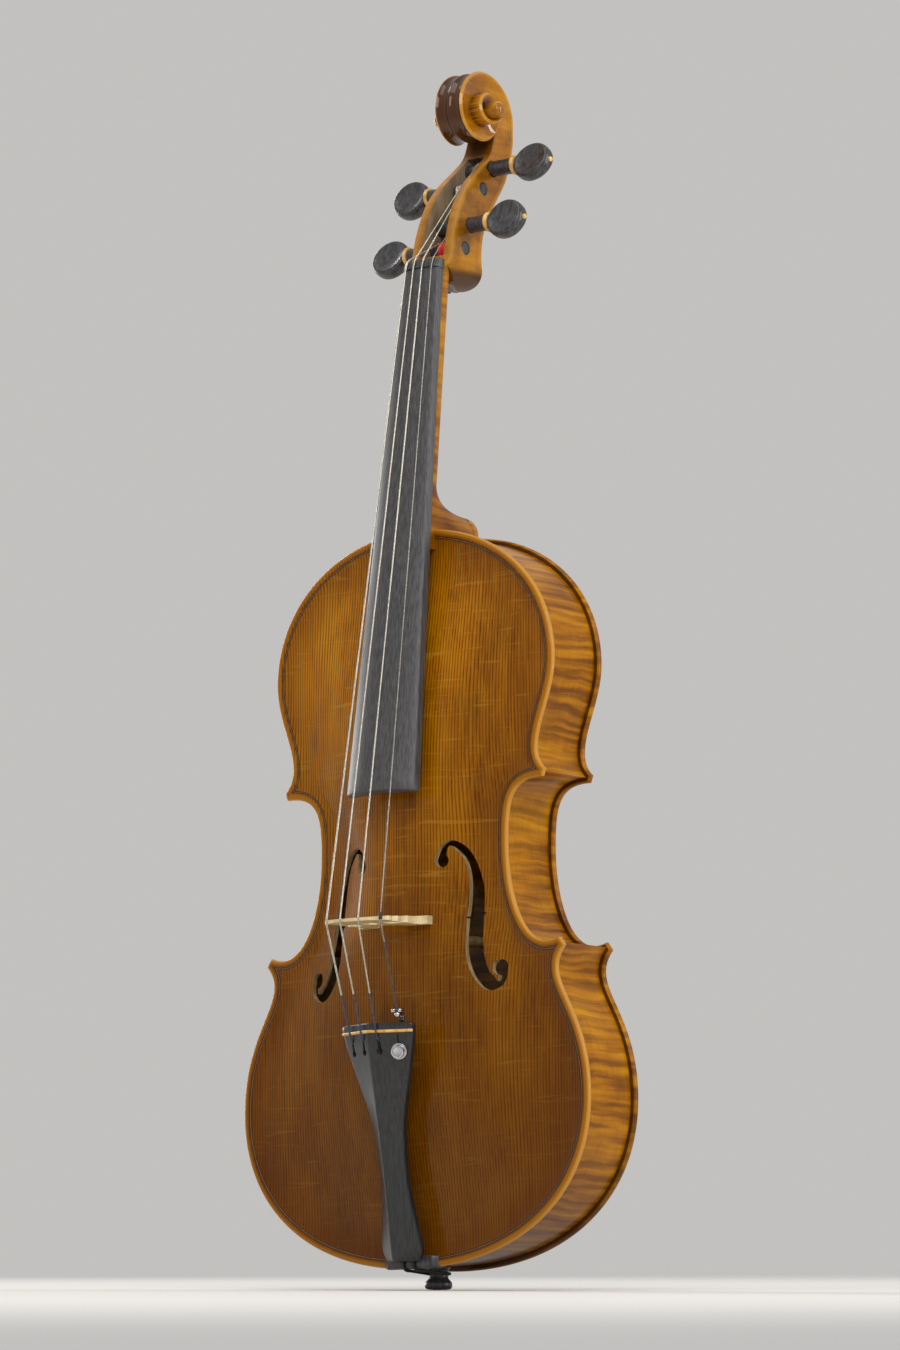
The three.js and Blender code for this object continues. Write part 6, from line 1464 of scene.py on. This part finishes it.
def makePegs():
    radius, thick = peg["headRadius"], peg["headThick"] / 2
    low = thick - peg["dishDepth"]
    dish = [(0, low), (0.28, low + 0.05), (0.5, low + 0.22), (0.64, low + 0.5), (0.74, low + 0.85), (0.81, thick - 0.1), (0.86, thick),
            (0.9, thick - 0.14), (0.94, thick - 0.55), (0.97, thick - 1.25), (0.99, thick - 2.2), (1, thick - 3.2)]
    rim = [(r * radius, h) for r, h in dish]
    profile = rim + [(r, -h) for r, h in rim[::-1]]
    for name, at in pegHoles.items():
        y, z = headPlace(at)
        hand = pegHands[name]
        riding = f"peg_{name}_turning"
        far = -(cheekHalfAt(z) - 0.4)
        swell = [(shankRadius(x), x) for x in np.linspace(far + 0.5, peg["collarAt"] - 0.2, 14)]
        neck_ = [(4.6, peg["collarAt"] + 2.2), (3.9, peg["collarAt"] + 2.9), (3.6, peg["headAt"] - 9), (3.5, peg["headAt"] - 8), (2.9, peg["headAt"] - 6.2), (1.8, peg["headAt"] - 5), (0, peg["headAt"] - 4.2)]
        shank = lathe([(0, far - 0.05), (shankRadius(far) - 0.7, far), (shankRadius(far) - 0.15, far + 0.18), *swell, *neck_], 48, (1, 0, 0))
        points, faces = lathe(profile, 96, (0, 1, 0))
        tilt = math.radians(peg["tilts"][name])
        turn = np.array(Matrix.Rotation(tilt, 3, "X"))
        disc = (points * (1, 1, 1 / peg["headLong"])) @ turn.T + (peg["headAt"], 0, 0)
        points, faces, _ = together(shank, (disc, faces))
        where = lambda rows: np.asarray(rows) * (hand, 1, 1) + (0, y, z)
        makeMesh(f"peg_{name}_shank_and_head", where(points), faces, ebony, riding, [f"peg_{name}"], sharp=40)
        start = peg["collarAt"]
        ring = lathe([(shankRadius(start) - 0.4, start - 0.05), (5, start - 0.02), (5.5, start + 0.25), (5.8, start + 0.85), (5.75, start + 1.5), (5.35, start + 2.1),
                      (4.9, start + 2.4), (3.3, start + 2.45)], 48, (1, 0, 0))
        tip = peg["headAt"] + radius
        ball = lathe([(0, tip - 1.2), (1.1, tip - 1.2), (1.15, tip - 0.35), (1.42, tip - 0.1), (1.5, tip + 0.3), (1.4, tip + 0.8), (1.05, tip + 1.2), (0.5, tip + 1.45), (0, tip + 1.5)], 32, (1, 0, 0))
        points, faces, _ = together(ring, ball)
        makeMesh(f"peg_{name}_collar_and_pin", where(points), faces, boxwood, riding, sharp=40)
    print("pegs ready")


strings = {
    "c": {"radius": 0.58, "place": -1.5, "coilOffset": -3.4, "coilWay": 1, "coilPitch": 1.24, "turns": 6},
    "g": {"radius": 0.5, "place": -0.5, "coilOffset": -1.2, "coilWay": -1, "coilPitch": 1.1, "turns": 3},
    "d": {"radius": 0.45, "place": 0.5, "coilOffset": 1.6, "coilWay": 1, "coilPitch": 1.0, "turns": 3},
    "a": {"radius": 0.38, "place": 1.5, "coilOffset": 6.2, "coilWay": -1, "coilPitch": 0.85, "turns": 3},
}
stringGap = {"nut": 6.05, "bridge": 12.4, "tail": 10.7}
coil = {"steps": 48, "silkFrom": 34}
protector = {"radius": 0.95, "length": 4}


def overNut(name, reach):
    string = strings[name]
    x = string["place"] * stringGap["nut"]
    return np.array(at3(x, onBoard(nutDepth(x, reach) - string["radius"] - 0.02, reach)))


def overBridge(name, z):
    string = strings[name]
    x = string["place"] * stringGap["bridge"]
    outer = protector["radius"] if name == "a" else string["radius"]
    return np.array((x, crownY(x) - outer + 0.1, z))


def coilPlan(name):
    string = strings[name]
    axis = headPlace(pegHoles[name])
    far = string["coilOffset"] + string["coilWay"] * string["coilPitch"] * string["turns"]
    hand = pegHands[name]
    radius = max(shankRadius(string["coilOffset"] * hand), shankRadius(far * hand)) + string["radius"] + 0.05
    start = overNut(name, -nut["length"])
    span = axis - start[1:]
    heading = math.atan2(span[1], span[0]) + math.asin(radius / np.linalg.norm(span))
    reach = math.sqrt(span @ span - radius ** 2)
    leave = np.array((string["coilOffset"], start[1] + reach * math.cos(heading), start[2] + reach * math.sin(heading)))
    return axis, radius, leave, math.atan2(leave[2] - axis[1], leave[1] - axis[0])


def coilRoute(name):
    string = strings[name]
    axis, radius, leave, start = coilPlan(name)
    count = string["turns"] * coil["steps"]
    route = []
    for i in range(count + 1):
        turn = start - 2 * math.pi * i / coil["steps"]
        x = string["coilOffset"] + string["coilWay"] * string["coilPitch"] * i / coil["steps"]
        route.append((x, axis[0] + radius * math.cos(turn), axis[1] + radius * math.sin(turn)))
    last = route[-1]
    for sink in (0.15, 0.5, 1, 1.6):
        turn = start - 2 * math.pi * (count + 1 + sink * 1.2) / coil["steps"]
        route.append((last[0], axis[0] + (radius - sink) * math.cos(turn), axis[1] + (radius - sink) * math.sin(turn)))
    return np.array(route)


def stringRoute(name):
    string = strings[name]
    leave = coilPlan(name)[2]
    route = [leave, overNut(name, -nut["length"]), overNut(name, -3), overNut(name, -0.3)]
    crownBack = bridgeZ - bridge["footThickness"] / 2
    route += [overBridge(name, crownBack + bridge["topThickness"]), overBridge(name, crownBack)]
    if name == "a":
        end = tunerPlace() @ Vector((0, tuner["stringY"], tuner["clawZ"] + 0.2 - tuner["ball"]))
        return np.array([*route, tuple(end)])
    x = string["place"] * stringGap["tail"]
    rest = tailpiece["fretRise"] + string["radius"]
    diveZ = holeZ + tailpiece["slotLength"] - 2
    under = tailUnder(x, diveZ) + tuner["ball"] + 0.1
    for side in (1, -1):
        route.append(np.array((x, tailTop(x, fretZ) - rest, fretZ + side * 0.5)))
    route += [np.array((x, tailTop(x, diveZ) - string["radius"], diveZ + 0.6)), np.array((x, under, diveZ))]
    return np.array(route)


def makeStrings():
    for name, string in strings.items():
        route = stringRoute(name)
        riding = f"peg_{name}_turning"
        points, faces, _ = tube(coilRoute(name), string["radius"], 12)
        look = redSilk if name == "c" else stringWire
        makeMesh(f"coil_{name}", points, faces, look, riding, [f"winding_{name}"], sharp=60)
        path = rounded(route, 2.2)
        bridgeAt = int(np.argmin(np.abs(path[:, 2] - bridgeZ + bridge["footThickness"] / 2)))
        sums = lengthsAlong(path)
        fullPath = resample(path, 420)
        points, faces, along = tube(fullPath, string["radius"], 12)
        silkAt = lengthsAlong(fullPath)
        silkStart = sums[-1] - coil["silkFrom"]
        looks = [silkOf(along[face[0]], silkStart) for face in faces]
        if name != "a":
            end = fullPath[-1]
            ball = lathe([(0.5 + 1e-4, -1.5)] + [(tuner["ball"] * math.cos(a), tuner["ball"] * math.sin(a)) for a in np.linspace(-1.1, 1.1, 9)], 24, (1, 0, 0), end)
            points, faces, indices = together((points, faces), ball)
            looks += [2] * (len(faces) - len(looks))
            makeMesh(f"string_{name}_wound", points, faces, [stringWire, blueSilk, brass], "instrument", [f"string_{name}"], sharp=60, indices=looks)
            continue
        upper = path[:bridgeAt + 1]
        lower = path[bridgeAt:]
        points, faces, _ = tube(resample(upper, 300), string["radius"], 12)
        makeMesh("string_a_playing_length", points, faces, darkWire, "instrument", ["string_a"], sharp=60)
        fine = resample(lower, 90)
        points, faces, along = tube(fine, string["radius"], 12)
        looks = [1 if along[face[0]] > 12 else 0 for face in faces]
        ball = lathe([(tuner["ball"] * math.cos(a), tuner["ball"] * math.sin(a)) for a in np.linspace(-1.1, 1.1, 9)], 24, (1, 0, 0), fine[-1])
        points, faces, _ = together((points, faces), ball)
        looks += [2] * (len(faces) - len(looks))
        tail = makeMesh("string_a_tail_length", points, faces, [darkWire, blueSilk, nickel], None, sharp=60, indices=looks)
        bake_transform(tail)
        half = protector["length"] / 2
        middle = int(np.argmin(np.abs(path[:, 2] - bridgeZ)))
        near = [p for p in resample(path, 3000) if np.linalg.norm(p - path[middle]) < half]
        sleeve = np.array(near[::4])
        radii = [protector["radius"] * (0.85 if i in (0, len(sleeve) - 1) else 1) for i in range(len(sleeve))]
        points, faces, _ = tube(sleeve, radii, 20)
        makeMesh("bridge_protector_sleeve", points, faces, rubberBlack, "instrument", ["bridge_protector"], sharp=50)
    print("strings ready")


def silkOf(along, start):
    return 1 if along > start else 0


def makeTailGut():
    waist = endButton["waist"] + 0.9
    grooveZ = 8.6
    crest = -(edgeY + saddle["rise"] + 0.5)
    low = body["bottom"] - 0.9
    x = 3.6
    half = [(x, tailUnder(x, 34) + 1.2, 34), (x, tailUnder(x, 20) + 1.2, 20), (x, crest, body["bottom"] + 6), (x, crest + 0.1, body["bottom"] + 1.6),
            (x, crest + 2, low), (x + 0.4, -body["glue"], low), (waist * 0.8, -5, grooveZ + 0.2), (waist, 0, grooveZ)]
    behind = [(waist * math.cos(a), waist * math.sin(a), grooveZ) for a in np.linspace(0, math.pi, 13)[1:-1]]
    route = np.array(half + behind + [(-px, y, z) for px, y, z in half[::-1]])
    points, faces, _ = tube(resample(rounded(route, 2.4, 6), 200), 0.85, 16)
    makeMesh("tail_cord", points, faces, cordBlack, "instrument", ["tail_gut"], sharp=60)


tailEbony = plainMaterial("polished_carved_ebony", "#19191A", "#2B2B2D", 0.3, (900, 900, 30), bump=0.15)  # closer polish than the fingerboard
stringWire = plainMaterial("flat_wound_steel", "#A9A597", "#CBC7BA", 0.32, (900, 900, 900), metallic=0.85, distance=0.00001)
darkWire = plainMaterial("flat_wound_alloy", "#77756F", "#A09D95", 0.36, (900, 900, 900), metallic=0.85, distance=0.00001)
blueSilk = plainMaterial("blue_silk_whipping", "#252F3C", "#43505F", 0.7, (1400, 1400, 1400), bump=0.5)  # matt thread over the string's end
redSilk = plainMaterial("red_silk_whipping", "#D00C0C", "#F03434", 0.65, (1400, 1400, 1400), bump=0.5)  # bright matt thread on the peg
rubberBlack = plainMaterial("soft_black_sleeve", "#0D0F12", "#1E2329", 0.5, (600, 600, 600))
brass = plainMaterial("brass_ball_end", "#B08D45", "#C9A45C", 0.3, (500, 500, 500), metallic=1.0, distance=0.00001)
makeSaddle()
makeEndButton()
makeBridge()
makeTailpiece()
makeTuner()
makePegs()
makeStrings()
makeTailGut()


# Pieces inside the body keep their CAD shape
for name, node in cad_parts.items():
    slot = node.data.materials[0] if node.data.materials else None
    finish = None
    if "lining" in name or "block" in name:
        finish = bareWillow
    elif name in ("bass_bar", "sound_post"):
        finish = bareSpruce
    if finish:
        node.data.materials.clear()
        node.data.materials.append(finish)
